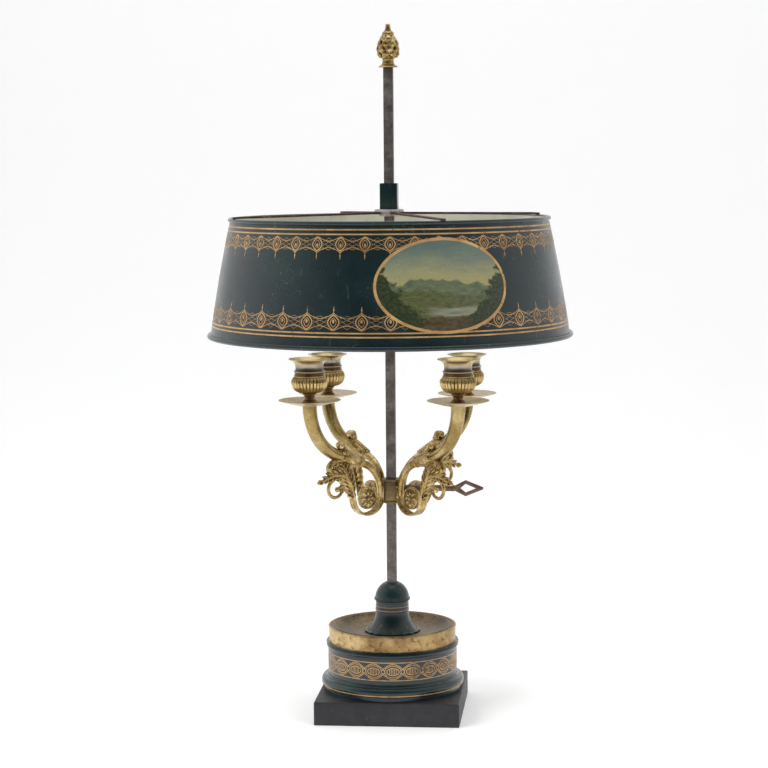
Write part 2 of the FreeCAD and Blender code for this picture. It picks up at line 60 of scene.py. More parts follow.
def arcPoints(start, middle, end, steps):
    (ax, az), (bx, bz), (cx, cz) = start, middle, end
    spread = 2 * (ax * (bz - cz) + bx * (cz - az) + cx * (az - bz))
    if abs(spread) < 1e-9:
        return [start, end]
    aa, bb, cc = ax * ax + az * az, bx * bx + bz * bz, cx * cx + cz * cz
    centreX = (aa * (bz - cz) + bb * (cz - az) + cc * (az - bz)) / spread
    centreZ = (aa * (cx - bx) + bb * (ax - cx) + cc * (bx - ax)) / spread
    radius = math.hypot(ax - centreX, az - centreZ)
    first = math.atan2(az - centreZ, ax - centreX)
    mid = math.atan2(bz - centreZ, bx - centreX)
    last = math.atan2(cz - centreZ, cx - centreX)
    sweep = (last - first) % (2 * math.pi)
    if (mid - first) % (2 * math.pi) > sweep:
        sweep -= 2 * math.pi
    return [(centreX + radius * math.cos(first + sweep * i / steps),
             centreZ + radius * math.sin(first + sweep * i / steps)) for i in range(steps + 1)]


def traceOutline(steps, arcSteps=10):
    # (x, z) is a straight run, (mid x, mid z, x, z) an arc
    points = [steps[0]]
    for step in steps[1:]:
        if len(step) == 4:
            points += arcPoints(points[-1], step[:2], step[2:], arcSteps)[1:]
        else:
            points.append(step)
    return points


def splinePoints(points, count):
    # Catmull-Rom through tuples of any length
    dense = []
    spans = len(points) - 1
    for k in range(count + 1):
        place = spans * k / count
        i = min(int(place), spans - 1)
        t = place - i
        before = points[i - 1] if i else points[i]
        after = points[i + 2] if i + 2 < len(points) else points[i + 1]
        dense.append(tuple(
            0.5 * (2 * b + (c - a) * t + (2 * a - 5 * b + 4 * c - d) * t * t
                   + (3 * b - a - 3 * c + d) * t ** 3)
            for a, b, c, d in zip(before, points[i], points[i + 1], after)))
    return dense


def latheMesh(name, outline, segments, closed=True, ripple=None):
    verts, rings, faces = [], [], []
    for k, (r, z) in enumerate(outline):
        if abs(r) < 1e-6:
            rings.append([len(verts)] * segments)
            verts.append((0, 0, z))
            continue
        ring = []
        for i in range(segments):
            turn = 2 * math.pi * i / segments
            radius = r + (ripple(turn, r, z, k) if ripple else 0)
            ring.append(len(verts))
            verts.append((radius * math.cos(turn), radius * math.sin(turn), z))
        rings.append(ring)
    pairs = list(zip(rings, rings[1:]))
    if closed:
        pairs.append((rings[-1], rings[0]))
    for low, high in pairs:
        for i in range(segments):
            j = (i + 1) % segments
            corners = [low[i], low[j], high[j], high[i]]
            face = [v for n, v in enumerate(corners) if v not in corners[:n]]
            if len(face) > 2:
                faces.append(face)
    piece = makePiece(name, verts, faces)
    outward(piece)
    return piece


def outward(piece):
    work = bmesh.new()
    work.from_mesh(piece.data)
    bmesh.ops.remove_doubles(work, verts=work.verts, dist=1e-7)
    bmesh.ops.recalc_face_normals(work, faces=work.faces)
    work.to_mesh(piece.data)
    work.free()


def softEdges(piece, degrees=32):
    work = bmesh.new()
    work.from_mesh(piece.data)
    limit = math.radians(degrees)
    for face in work.faces:
        face.smooth = True
    for edge in work.edges:
        edge.smooth = len(edge.link_faces) == 2 and edge.calc_face_angle(0) < limit
    work.to_mesh(piece.data)
    work.free()


def bakeModifiers(piece):
    graph = bpy.context.evaluated_depsgraph_get()
    graph.update()
    mesh = bpy.data.meshes.new_from_object(piece.evaluated_get(graph))
    piece.modifiers.clear()
    piece.data = mesh
    return piece


def tubeMesh(name, points, radii, sides=20, squash=1.0):
    # round bar through (x, y, z) points; squash narrows it along Y
    verts, faces = [], []
    count = len(points)
    for k, point in enumerate(points):
        ahead = Vector(points[min(k + 1, count - 1)]) - Vector(points[max(k - 1, 0)])
        ahead.normalize()
        side = Vector((0, 1, 0))
        if abs(ahead.dot(side)) > 0.95:
            side = Vector((1, 0, 0))
        up = ahead.cross(side).normalized()
        side = up.cross(ahead).normalized()
        for i in range(sides):
            turn = 2 * math.pi * i / sides
            spot = Vector(point) + (up * math.cos(turn) + side * math.sin(turn) * squash) * radii[k]
            verts.append(tuple(spot))
    for k in range(count - 1):
        for i in range(sides):
            j = (i + 1) % sides
            faces.append([k * sides + i, k * sides + j, (k + 1) * sides + j, (k + 1) * sides + i])
    faces.append(list(range(sides))[::-1])
    faces.append([(count - 1) * sides + i for i in range(sides)])
    piece = makePiece(name, verts, faces)
    outward(piece)
    return piece


def planarTube(name, points, radii, count=24, sides=16, squash=1.0):
    dense = splinePoints([(u, z, r) for (u, z), r in zip(points, radii)], count)
    return tubeMesh(name, [(u, 0, z) for u, z, r in dense], [r for u, z, r in dense], sides, squash)


def lobeMesh(name, centre, heading, length, width, thick, tilt=0.0):
    # one leaf lobe: a pointed drop, its tip along heading degrees in the XZ plane
    verts, faces = [], []
    rings, sides = 10, 12
    for k in range(rings + 1):
        t = k / rings
        swell = math.sin(math.pi * t ** 0.8) ** 0.8 if 0 < t < 1 else 0
        for i in range(sides):
            turn = 2 * math.pi * i / sides
            verts.append(((t - 0.35) * length, math.cos(turn) * swell * thick / 2,
                          math.sin(turn) * swell * width / 2 + math.sin(math.pi * t) * tilt))
    for k in range(rings):
        for i in range(sides):
            j = (i + 1) % sides
            faces.append([k * sides + i, k * sides + j, (k + 1) * sides + j, (k + 1) * sides + i])
    piece = makePiece(name, verts, faces)
    piece.data.transform(Matrix.Rotation(-math.radians(heading), 4, "Y"))
    piece.data.transform(Matrix.Translation(Vector(centre) * mm))
    outward(piece)
    return piece


def ballMesh(name, centre, radius, scale=(1, 1, 1)):
    work = bmesh.new()
    bmesh.ops.create_uvsphere(work, u_segments=20, v_segments=12, radius=radius * mm)
    mesh = bpy.data.meshes.new(name)
    work.to_mesh(mesh)
    work.free()
    mesh.transform(Matrix.Diagonal((*scale, 1)))
    mesh.transform(Matrix.Translation(Vector(centre) * mm))
    piece = bpy.data.objects.new(name, mesh)
    bpy.context.scene.collection.objects.link(piece)
    return piece


def joined(name, pieces):
    work = bmesh.new()
    for piece in pieces:
        work.from_mesh(piece.data)
        bpy.data.objects.remove(piece)
    mesh = bpy.data.meshes.new(name)
    work.to_mesh(mesh)
    work.free()
    whole = bpy.data.objects.new(name, mesh)
    bpy.context.scene.collection.objects.link(whole)
    return whole


def remeshed(piece, voxel, smooth=0):
    modifier = piece.modifiers.new("remesh", "REMESH")
    modifier.mode = "VOXEL"
    modifier.voxel_size = voxel * mm
    if smooth:
        relax = piece.modifiers.new("relax", "SMOOTH")
        relax.iterations = smooth
        relax.factor = 0.5
    bakeModifiers(piece)
    return piece


def nodeCopy(node, name, bevel=0.0, segments=3):
    # a CAD node's own shape with its edges softened
    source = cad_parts[node]
    piece = bpy.data.objects.new(name, source.data.copy())
    piece.data.materials.clear()
    bpy.context.scene.collection.objects.link(piece)
    work = bmesh.new()
    work.from_mesh(piece.data)
    bmesh.ops.remove_doubles(work, verts=work.verts, dist=2e-6)
    bmesh.ops.dissolve_limit(work, angle_limit=math.radians(0.6), verts=work.verts, edges=work.edges)
    work.to_mesh(piece.data)
    work.free()
    if bevel:
        modifier = piece.modifiers.new("bevel", "BEVEL")
        modifier.width = bevel * mm
        modifier.segments = segments
        modifier.limit_method = "ANGLE"
        modifier.angle_limit = math.radians(35)
        bakeModifiers(piece)
    return piece


def placeCopy(piece, name, angle, lift=0.0, reach=0.0):
    copy = bpy.data.objects.new(name, piece.data.copy())
    bpy.context.scene.collection.objects.link(copy)
    copy.data.transform(Matrix.Translation((reach * mm, 0, lift * mm)))
    copy.data.transform(Matrix.Rotation(math.radians(angle), 4, "Z"))
    return copy


def dress(piece, body, materials, replaced=(), sharp=32):
    softEdges(piece, sharp)
    if not isinstance(materials, (list, tuple)):
        materials = [materials]
    if piece.data.materials:
        piece.data.materials.clear()
    for material in materials:
        piece.data.materials.append(material)
    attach(piece, body)
    if replaced:
        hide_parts(*replaced)
    return piece


# a geometry-node tree that sets copies of a motif round the rod's axis

def ringTree():
    tree = bpy.data.node_groups.new("copiesRoundAxis", "GeometryNodeTree")
    face = tree.interface
    face.new_socket("Motif", in_out="INPUT", socket_type="NodeSocketGeometry")
    sockets = {
        "copies": face.new_socket("Copies", in_out="INPUT", socket_type="NodeSocketInt").identifier,
        "start": face.new_socket("Start angle", in_out="INPUT", socket_type="NodeSocketFloat").identifier,
        "finish": face.new_socket("Finish", in_out="INPUT", socket_type="NodeSocketMaterial").identifier,
    }
    face.new_socket("Ring", in_out="OUTPUT", socket_type="NodeSocketGeometry")
    nodes, links = tree.nodes, tree.links
    given = nodes.new("NodeGroupInput")
    result = nodes.new("NodeGroupOutput")
    points = nodes.new("GeometryNodePoints")
    index = nodes.new("GeometryNodeInputIndex")
    share = nodes.new("ShaderNodeMath")
    share.operation = "DIVIDE"
    turn = nodes.new("ShaderNodeMath")
    turn.operation = "MULTIPLY_ADD"
    turn.inputs[1].default_value = 2 * math.pi
    spin = nodes.new("ShaderNodeCombineXYZ")
    place = nodes.new("GeometryNodeInstanceOnPoints")
    real = nodes.new("GeometryNodeRealizeInstances")
    paint = nodes.new("GeometryNodeSetMaterial")
    links.new(given.outputs["Copies"], points.inputs["Count"])
    links.new(index.outputs[0], share.inputs[0])
    links.new(given.outputs["Copies"], share.inputs[1])
    links.new(share.outputs[0], turn.inputs[0])
    links.new(given.outputs["Start angle"], turn.inputs[2])
    links.new(turn.outputs[0], spin.inputs["Z"])
    links.new(points.outputs[0], place.inputs["Points"])
    links.new(given.outputs["Motif"], place.inputs["Instance"])
    links.new(spin.outputs[0], place.inputs["Rotation"])
    links.new(place.outputs[0], real.inputs[0])
    links.new(real.outputs[0], paint.inputs["Geometry"])
    links.new(given.outputs["Finish"], paint.inputs["Material"])
    links.new(paint.outputs[0], result.inputs[0])
    return tree, sockets


copiesRoundAxis, ringSockets = ringTree()


def repeatRound(piece, copies, startDegrees, material):
    modifier = piece.modifiers.new("ring", "NODES")
    modifier.node_group = copiesRoundAxis
    modifier[ringSockets["copies"]] = copies
    modifier[ringSockets["start"]] = math.radians(startDegrees)
    modifier[ringSockets["finish"]] = material
    return bakeModifiers(piece)


def strokeRibbons(name, strokes, onSurface, lift=0.07):
    # flat painted lines: each stroke is (points in mm on the unrolled surface, width, closed)
    verts, faces = [], []
    for points, width, closed in strokes:
        count = len(points)
        first = len(verts)
        for i, (s, t) in enumerate(points):
            ahead = points[(i + 1) % count] if closed or i + 1 < count else points[i]
            behind = points[i - 1] if closed or i else points[i]
            ds, dt = ahead[0] - behind[0], ahead[1] - behind[1]
            size = math.hypot(ds, dt) or 1.0
            ns, nt = -dt / size * width / 2, ds / size * width / 2
            verts.append(onSurface(s + ns, t + nt, lift))
            verts.append(onSurface(s - ns, t - nt, lift))
        for i in range(count if closed else count - 1):
            a = first + 2 * i
            b = first + 2 * ((i + 1) % count)
            faces.append([a, a + 1, b + 1, b])
    piece = makePiece(name, verts, faces)
    # painted lines face away from the axis
    work = bmesh.new()
    work.from_mesh(piece.data)
    work.normal_update()
    flipped = [f for f in work.faces
               if f.normal.dot(Vector((f.calc_center_median().x, f.calc_center_median().y, 0))) < 0]
    bmesh.ops.reverse_faces(work, faces=flipped)
    work.to_mesh(piece.data)
    work.free()
    return piece


def ovalStroke(centreS, centreT, halfS, halfT, width, steps=28):
    points = []
    for i in range(steps):
        turn = math.radians(360.0 * i / steps)
        points.append((centreS + halfS * math.cos(turn), centreT + halfT * math.sin(turn)))
    return points, width, True


# materials

def newMaterial(name):
    material = bpy.data.materials.new(name)
    material.use_nodes = True
    tree = material.node_tree
    return material, tree.nodes, tree.links, tree.nodes["Principled BSDF"]


def objectNoise(nodes, links, scale, detail=4.0, rough=0.55, stretch=(1, 1, 1), offset=0.0):
    place = nodes.new("ShaderNodeTexCoord")
    shift = nodes.new("ShaderNodeMapping")
    shift.inputs["Scale"].default_value = stretch
    shift.inputs["Location"].default_value = (offset, offset * 0.7, offset * 0.3)
    noise = nodes.new("ShaderNodeTexNoise")
    noise.inputs["Scale"].default_value = scale
    noise.inputs["Detail"].default_value = detail
    noise.inputs["Roughness"].default_value = rough
    links.new(place.outputs["Object"], shift.inputs["Vector"])
    links.new(shift.outputs["Vector"], noise.inputs["Vector"])
    return noise.outputs["Fac"]


def ramp(nodes, links, source, stops):
    node = nodes.new("ShaderNodeValToRGB")
    marks = node.color_ramp.elements
    marks[0].position = stops[0][0]
    marks[0].color = toColor(stops[0][1])
    marks[1].position = stops[-1][0]
    marks[1].color = toColor(stops[-1][1])
    for place, color in stops[1:-1]:
        marks.new(place).color = toColor(color)
    links.new(source, node.inputs["Fac"])
    return node.outputs["Color"]


def toColor(value):
    if isinstance(value, (int, float)):
        return (value, value, value, 1)
    return (*value, 1) if len(value) == 3 else value


def mixColor(nodes, links, factor, first, second, blend="MIX"):
    node = nodes.new("ShaderNodeMix")
    node.data_type = "RGBA"
    node.blend_type = blend
    for socket, value in ((node.inputs["Factor"], factor), (node.inputs["A"], first),
                          (node.inputs["B"], second)):
        target = socket
        if socket.name in ("A", "B"):
            target = [s for s in node.inputs if s.name == socket.name and s.type == "RGBA"][0]
        if isinstance(value, bpy.types.NodeSocket):
            links.new(value, target)
        elif target.type == "RGBA":
            target.default_value = toColor(value)
        else:
            target.default_value = value
    return [s for s in node.outputs if s.type == "RGBA"][0]


def combine(nodes, links, operation, first, second=None, third=None, clamp=False):
    node = nodes.new("ShaderNodeMath")
    node.operation = operation
    node.use_clamp = clamp
    for socket, value in zip(node.inputs, (first, second, third)):
        if isinstance(value, bpy.types.NodeSocket):
            links.new(value, socket)
        elif value is not None:
            socket.default_value = value
    return node.outputs[0]


def addBump(nodes, links, shader, height, strength, distance):
    bump = nodes.new("ShaderNodeBump")
    bump.inputs["Strength"].default_value = strength
    bump.inputs["Distance"].default_value = distance
    links.new(height, bump.inputs["Height"])
    links.new(bump.outputs["Normal"], shader.inputs["Normal"])


def lacquerMaterial(name, look):
    material, nodes, links, shader = newMaterial(name)
    patches = objectNoise(nodes, links, look["patchScale"], 5, 0.6)
    color = ramp(nodes, links, patches, [(0.32, look["dark"]), (0.52, look["mid"]), (0.74, look["green"])])
    speck = objectNoise(nodes, links, 900, 2, 0.5, offset=3)
    rub = objectNoise(nodes, links, 26, 6, 0.7, offset=7)
    worn = combine(nodes, links, "MULTIPLY", ramp(nodes, links, speck, [(0.62, 0), (0.72, 1)]),
                   ramp(nodes, links, rub, [(0.50, 0), (0.62, 1)]))
    streaks = objectNoise(nodes, links, 220, 3, 0.6, stretch=(1, 1, 0.12), offset=11)
    streak = combine(nodes, links, "MULTIPLY", ramp(nodes, links, streaks, [(0.66, 0), (0.70, 1)]),
                     ramp(nodes, links, rub, [(0.46, 0), (0.60, 1)]))
    worn = combine(nodes, links, "MAXIMUM", worn, combine(nodes, links, "MULTIPLY", streak, 0.5))
    color = mixColor(nodes, links, combine(nodes, links, "MULTIPLY", worn, look["wear"]), color, look["worn"])
    links.new(color, shader.inputs["Base Color"])
    links.new(ramp(nodes, links, rub, [(0.3, look["gloss"]), (0.7, look["gloss"] + 0.16)]),
              shader.inputs["Roughness"])
    shader.inputs["Specular IOR Level"].default_value = 0.5
    shader.inputs["Coat Weight"].default_value = look["coat"]
    shader.inputs["Coat Roughness"].default_value = 0.12
    addBump(nodes, links, shader, objectNoise(nodes, links, 160, 4, 0.6, offset=5), 0.18, 0.0003)
    return material


def metalMaterial(name, look):
    material, nodes, links, shader = newMaterial(name)
    cloud = objectNoise(nodes, links, look["cloudScale"], 5, 0.62)
    color = ramp(nodes, links, cloud, [(0.28, look["dark"]), (0.5, look["mid"]), (0.72, look["light"])])
    pits = objectNoise(nodes, links, look["pitScale"], 3, 0.6, offset=4)
    pit = ramp(nodes, links, pits, [(0.34, 1), (0.46, 0)])
    color = mixColor(nodes, links, combine(nodes, links, "MULTIPLY", pit, look["pits"]), color,
                     look["pitAndShadeColor"])
    if look.get("cavityShade"):
        # painted shade: recesses found by pointiness are darkened towards the pit colour
        shape = nodes.new("ShaderNodeNewGeometry")
        hollowShade = ramp(nodes, links, shape.outputs["Pointiness"], [(0.44, 1), (0.505, 0)])
        color = mixColor(nodes, links, combine(nodes, links, "MULTIPLY", hollowShade, look["cavityShade"]), color,
                         look["pitAndShadeColor"])
        # painted highlight: raised crests found by pointiness are lightened towards the light colour
        crestHighlight = ramp(nodes, links, shape.outputs["Pointiness"], [(0.51, 0), (0.58, 1)])
        color = mixColor(nodes, links, combine(nodes, links, "MULTIPLY", crestHighlight, 0.6), color, look["light"])
    links.new(color, shader.inputs["Base Color"])
    shader.inputs["Metallic"].default_value = look["metal"]
    links.new(ramp(nodes, links, cloud, [(0.3, look["rough"]), (0.7, look["rough"] + look["roughSpan"])]),
              shader.inputs["Roughness"])
    addBump(nodes, links, shader, pits, look["bump"], 0.0003)
    return material


giltLook = {"gold": (0.40, 0.215, 0.075), "pale": (0.66, 0.42, 0.18), "bare": (0.030, 0.030, 0.026),
            "wear": 0.8,
            "wornFrom": 0.60}


def giltMaterial(name, look):
    material, nodes, links, shader = newMaterial(name)
    tone = objectNoise(nodes, links, 60, 4, 0.6)
    color = ramp(nodes, links, tone, [(0.3, look["gold"]), (0.7, look["pale"])])
    rub = objectNoise(nodes, links, 240, 5, 0.7, offset=9)
    broad = objectNoise(nodes, links, 22, 3, 0.5, offset=2)
    lost = combine(nodes, links, "ADD", combine(nodes, links, "MULTIPLY", rub, 0.7),
                   combine(nodes, links, "MULTIPLY", broad, 0.3))
    lostMask = ramp(nodes, links, lost,
                    [(look["wornFrom"] - 0.05, 0), (look["wornFrom"] + 0.03, look["wear"])])
    color = mixColor(nodes, links, lostMask, color, look["bare"])
    links.new(color, shader.inputs["Base Color"])
    links.new(combine(nodes, links, "SUBTRACT", 0.35, combine(nodes, links, "MULTIPLY", lostMask, 0.35)),
              shader.inputs["Metallic"])
    shader.inputs["Roughness"].default_value = 0.45
    return material


greenLook = {"dark": (0.0035, 0.010, 0.012), "mid": (0.005, 0.016, 0.018), "green": (0.007, 0.026, 0.023),
             "worn": (0.30, 0.34, 0.31), "wear": 0.40, "gloss": 0.24, "coat": 0.3, "patchScale": 16}
shadeLacquer = lacquerMaterial("shadeLacquer", greenLook)
baseLacquer = lacquerMaterial("baseLacquer",
                              {**greenLook, "wear": 0.4, "patchScale": 30, "green": (0.010, 0.036, 0.032)})
giltPaint = giltMaterial("giltPaint", giltLook)
castBrass = metalMaterial("castBrass", {
    "dark": (0.20, 0.120, 0.038), "mid": (0.46, 0.315, 0.115), "light": (0.92, 0.74, 0.40),
    "pitAndShadeColor": (0.018, 0.010, 0.005), "pits": 0.55, "pitScale": 700, "cloudScale": 90, "cavityShade": 1.0,
    "metal": 0.95, "rough": 0.20, "roughSpan": 0.2, "bump": 0.5})
hornBrass = metalMaterial("hornBrass", {
    "dark": (0.20, 0.130, 0.042), "mid": (0.40, 0.290, 0.110), "light": (0.62, 0.51, 0.27),
    "pitAndShadeColor": (0.06, 0.045, 0.022), "pits": 0.35, "pitScale": 500, "cloudScale": 42, "metal": 0.97,
    "rough": 0.16, "roughSpan": 0.14, "bump": 0.10})
panBrass = metalMaterial("panBrass", {
    "dark": (0.42, 0.32, 0.18), "mid": (0.62, 0.50, 0.33), "light": (0.78, 0.67, 0.48),
    "pitAndShadeColor": (0.16, 0.10, 0.05), "pits": 0.35, "pitScale": 420, "cloudScale": 40, "metal": 0.9,
    "rough": 0.32, "roughSpan": 0.2, "bump": 0.08})
galleryBrass = metalMaterial("galleryBrass", {
    "dark": (0.13, 0.075, 0.035), "mid": (0.44, 0.29, 0.12), "light": (0.78, 0.60, 0.32),
    "pitAndShadeColor": (0.05, 0.032, 0.018), "pits": 0.6, "pitScale": 220, "cloudScale": 34, "metal": 0.9,
    "rough": 0.26, "roughSpan": 0.22, "bump": 0.12})
trayBrass = metalMaterial("trayBrass", {
    "dark": (0.10, 0.075, 0.050), "mid": (0.22, 0.165, 0.100), "light": (0.46, 0.36, 0.21),
    "pitAndShadeColor": (0.04, 0.03, 0.022), "pits": 0.6, "pitScale": 300, "cloudScale": 28, "metal": 0.85,
    "rough": 0.38, "roughSpan": 0.2, "bump": 0.12})
rodIron = metalMaterial("rodIron", {
    "dark": (0.085, 0.074, 0.066), "mid": (0.165, 0.148, 0.136), "light": (0.30, 0.275, 0.255),
    "pitAndShadeColor": (0.030, 0.024, 0.022), "pits": 0.75, "pitScale": 1100, "cloudScale": 120, "metal": 0.7,
    "rough": 0.42, "roughSpan": 0.2, "bump": 0.7})
collarBronze = metalMaterial("collarBronze", {
    "dark": (0.060, 0.042, 0.020), "mid": (0.15, 0.105, 0.045), "light": (0.34, 0.25, 0.12),
    "pitAndShadeColor": (0.02, 0.015, 0.01), "pits": 0.7, "pitScale": 800, "cloudScale": 160, "cavityShade": 0.6,
    "metal": 0.85, "rough": 0.36, "roughSpan": 0.2, "bump": 0.6})
thumbIron = metalMaterial("thumbIron", {
    "dark": (0.10, 0.055, 0.040), "mid": (0.20, 0.125, 0.095), "light": (0.36, 0.25, 0.19),
    "pitAndShadeColor": (0.04, 0.02, 0.015), "pits": 0.5, "pitScale": 900, "cloudScale": 140, "metal": 0.75,
    "rough": 0.36, "roughSpan": 0.2, "bump": 0.4})
spiderIron = metalMaterial("spiderIron", {
    "dark": (0.035, 0.022, 0.018), "mid": (0.085, 0.045, 0.035), "light": (0.20, 0.13, 0.10),
    "pitAndShadeColor": (0.015, 0.01, 0.01), "pits": 0.5, "pitScale": 700, "cloudScale": 60, "metal": 0.6,
    "rough": 0.45, "roughSpan": 0.2, "bump": 0.3})
tinSolder = metalMaterial("tinSolder", {
    "dark": (0.32, 0.28, 0.26), "mid": (0.52, 0.47, 0.44), "light": (0.74, 0.70, 0.67),
    "pitAndShadeColor": (0.16, 0.10, 0.08), "pits": 0.5, "pitScale": 600, "cloudScale": 200, "metal": 0.7,
    "rough": 0.38, "roughSpan": 0.2, "bump": 0.4})
plainSteel = metalMaterial("plainSteel", {
    "dark": (0.25, 0.25, 0.25), "mid": (0.36, 0.36, 0.36), "light": (0.5, 0.5, 0.5),
    "pitAndShadeColor": (0.1, 0.1, 0.1), "pits": 0.3, "pitScale": 600, "cloudScale": 60, "metal": 0.9,
    "rough": 0.35, "roughSpan": 0.15, "bump": 0.1})
print("materials made")


def plinthMaterial():
    material, nodes, links, shader = newMaterial("plinthBlack")
    cloud = objectNoise(nodes, links, 30, 5, 0.6)
    color = ramp(nodes, links, cloud, [(0.3, (0.012, 0.012, 0.015)), (0.7, (0.030, 0.030, 0.034))])
    speck = objectNoise(nodes, links, 520, 2, 0.5, offset=3)
    dust = ramp(nodes, links, speck, [(0.70, 0), (0.76, 1)])
    color = mixColor(nodes, links, combine(nodes, links, "MULTIPLY", dust, 0.45), color, (0.22, 0.22, 0.23))
    shape = nodes.new("ShaderNodeNewGeometry")
    edge = ramp(nodes, links, shape.outputs["Pointiness"], [(0.53, 0), (0.60, 1)])
    rub = ramp(nodes, links, objectNoise(nodes, links, 120, 4, 0.7, offset=6), [(0.45, 0), (0.65, 1)])
    color = mixColor(nodes, links, combine(nodes, links, "MULTIPLY", edge, rub), color, (0.16, 0.16, 0.17))
    links.new(color, shader.inputs["Base Color"])
    links.new(ramp(nodes, links, cloud, [(0.3, 0.42), (0.7, 0.6)]), shader.inputs["Roughness"])
    addBump(nodes, links, shader, objectNoise(nodes, links, 400, 4, 0.6, offset=5), 0.35, 0.0004)
    return material


def shadeInsideMaterial():
    material, nodes, links, shader = newMaterial("shadeInside")
    cloud = objectNoise(nodes, links, 18, 5, 0.6)
    color = ramp(nodes, links, cloud, [(0.3, (0.36, 0.37, 0.28)), (0.7, (0.56, 0.55, 0.44))])
    stain = ramp(nodes, links, objectNoise(nodes, links, 70, 5, 0.7, offset=8), [(0.56, 0), (0.70, 1)])
    color = mixColor(nodes, links, combine(nodes, links, "MULTIPLY", stain, 0.35), color, (0.20, 0.14, 0.08))
    links.new(color, shader.inputs["Base Color"])
    shader.inputs["Roughness"].default_value = 0.6
    return material


def nozzleMaterial():
    # heat colours on the neck: teal and pink bands blended by the height kept in the mesh
    material, nodes, links, shader = newMaterial("nozzleBrass")
    level = nodes.new("ShaderNodeAttribute")
    level.attribute_name = "level"
    cloud = objectNoise(nodes, links, 90, 4, 0.6)
    base = ramp(nodes, links, cloud,
                [(0.3, (0.34, 0.23, 0.09)), (0.5, (0.55, 0.40, 0.17)), (0.7, (0.78, 0.60, 0.30))])
    wobble = combine(nodes, links, "MULTIPLY_ADD", objectNoise(nodes, links, 45, 3, 0.5, offset=2), 0.16,
                     level.outputs["Fac"])
    heat = ramp(nodes, links, wobble,
                [(0.0, (0.30, 0.12, 0.06)), (0.22, (0.34, 0.17, 0.08)), (0.30, (0.55, 0.40, 0.17)),
                 (0.68, (0.50, 0.36, 0.20)), (0.76, (0.50, 0.27, 0.24)), (0.84, (0.26, 0.38, 0.33)),
                 (0.93, (0.45, 0.36, 0.30)), (1.04, (0.62, 0.48, 0.24))])
    where = ramp(nodes, links, wobble, [(0.20, 1), (0.32, 0), (0.68, 0), (0.76, 1), (1.0, 1)])
    color = mixColor(nodes, links, combine(nodes, links, "MULTIPLY", where, 0.85), base, heat)
    # painted shade: recesses found by pointiness are darkened to near black
    shape = nodes.new("ShaderNodeNewGeometry")
    hollowShade = ramp(nodes, links, shape.outputs["Pointiness"], [(0.45, 1), (0.50, 0)])
    color = mixColor(nodes, links, combine(nodes, links, "MULTIPLY", hollowShade, 0.85), color,
                     (0.06, 0.035, 0.015))
    links.new(color, shader.inputs["Base Color"])
    shader.inputs["Metallic"].default_value = 0.95
    links.new(ramp(nodes, links, cloud, [(0.3, 0.22), (0.7, 0.38)]), shader.inputs["Roughness"])
    return material


plinthBlack = plinthMaterial()
shadeInside = shadeInsideMaterial()
nozzleBrass = nozzleMaterial()


# base

baseSizes = {
    "drumRadius": 62.4, "drumBottom": 38.0, "drumTop": 63.5, "footRadius": 69.0, "footSeat": 66.0,
    "beadRadius": 64.2, "beadTop": 68.8, "galleryRadius": 61.3, "galleryTop": 84.0, "trayFloor": 77.4,
    "trayFloorRadius": 47.5, "segments": 192,
}


def giltRing(name, radius, height, size, ripple=None):
    section = [2 * math.pi * i / 12 for i in range(12)]
    hoop = latheMesh(name, [(radius + size * math.cos(a), height + size * math.sin(a)) for a in section],
                     288, True,
                     ripple)
    dress(hoop, "lamp", giltPaint, (), 60)


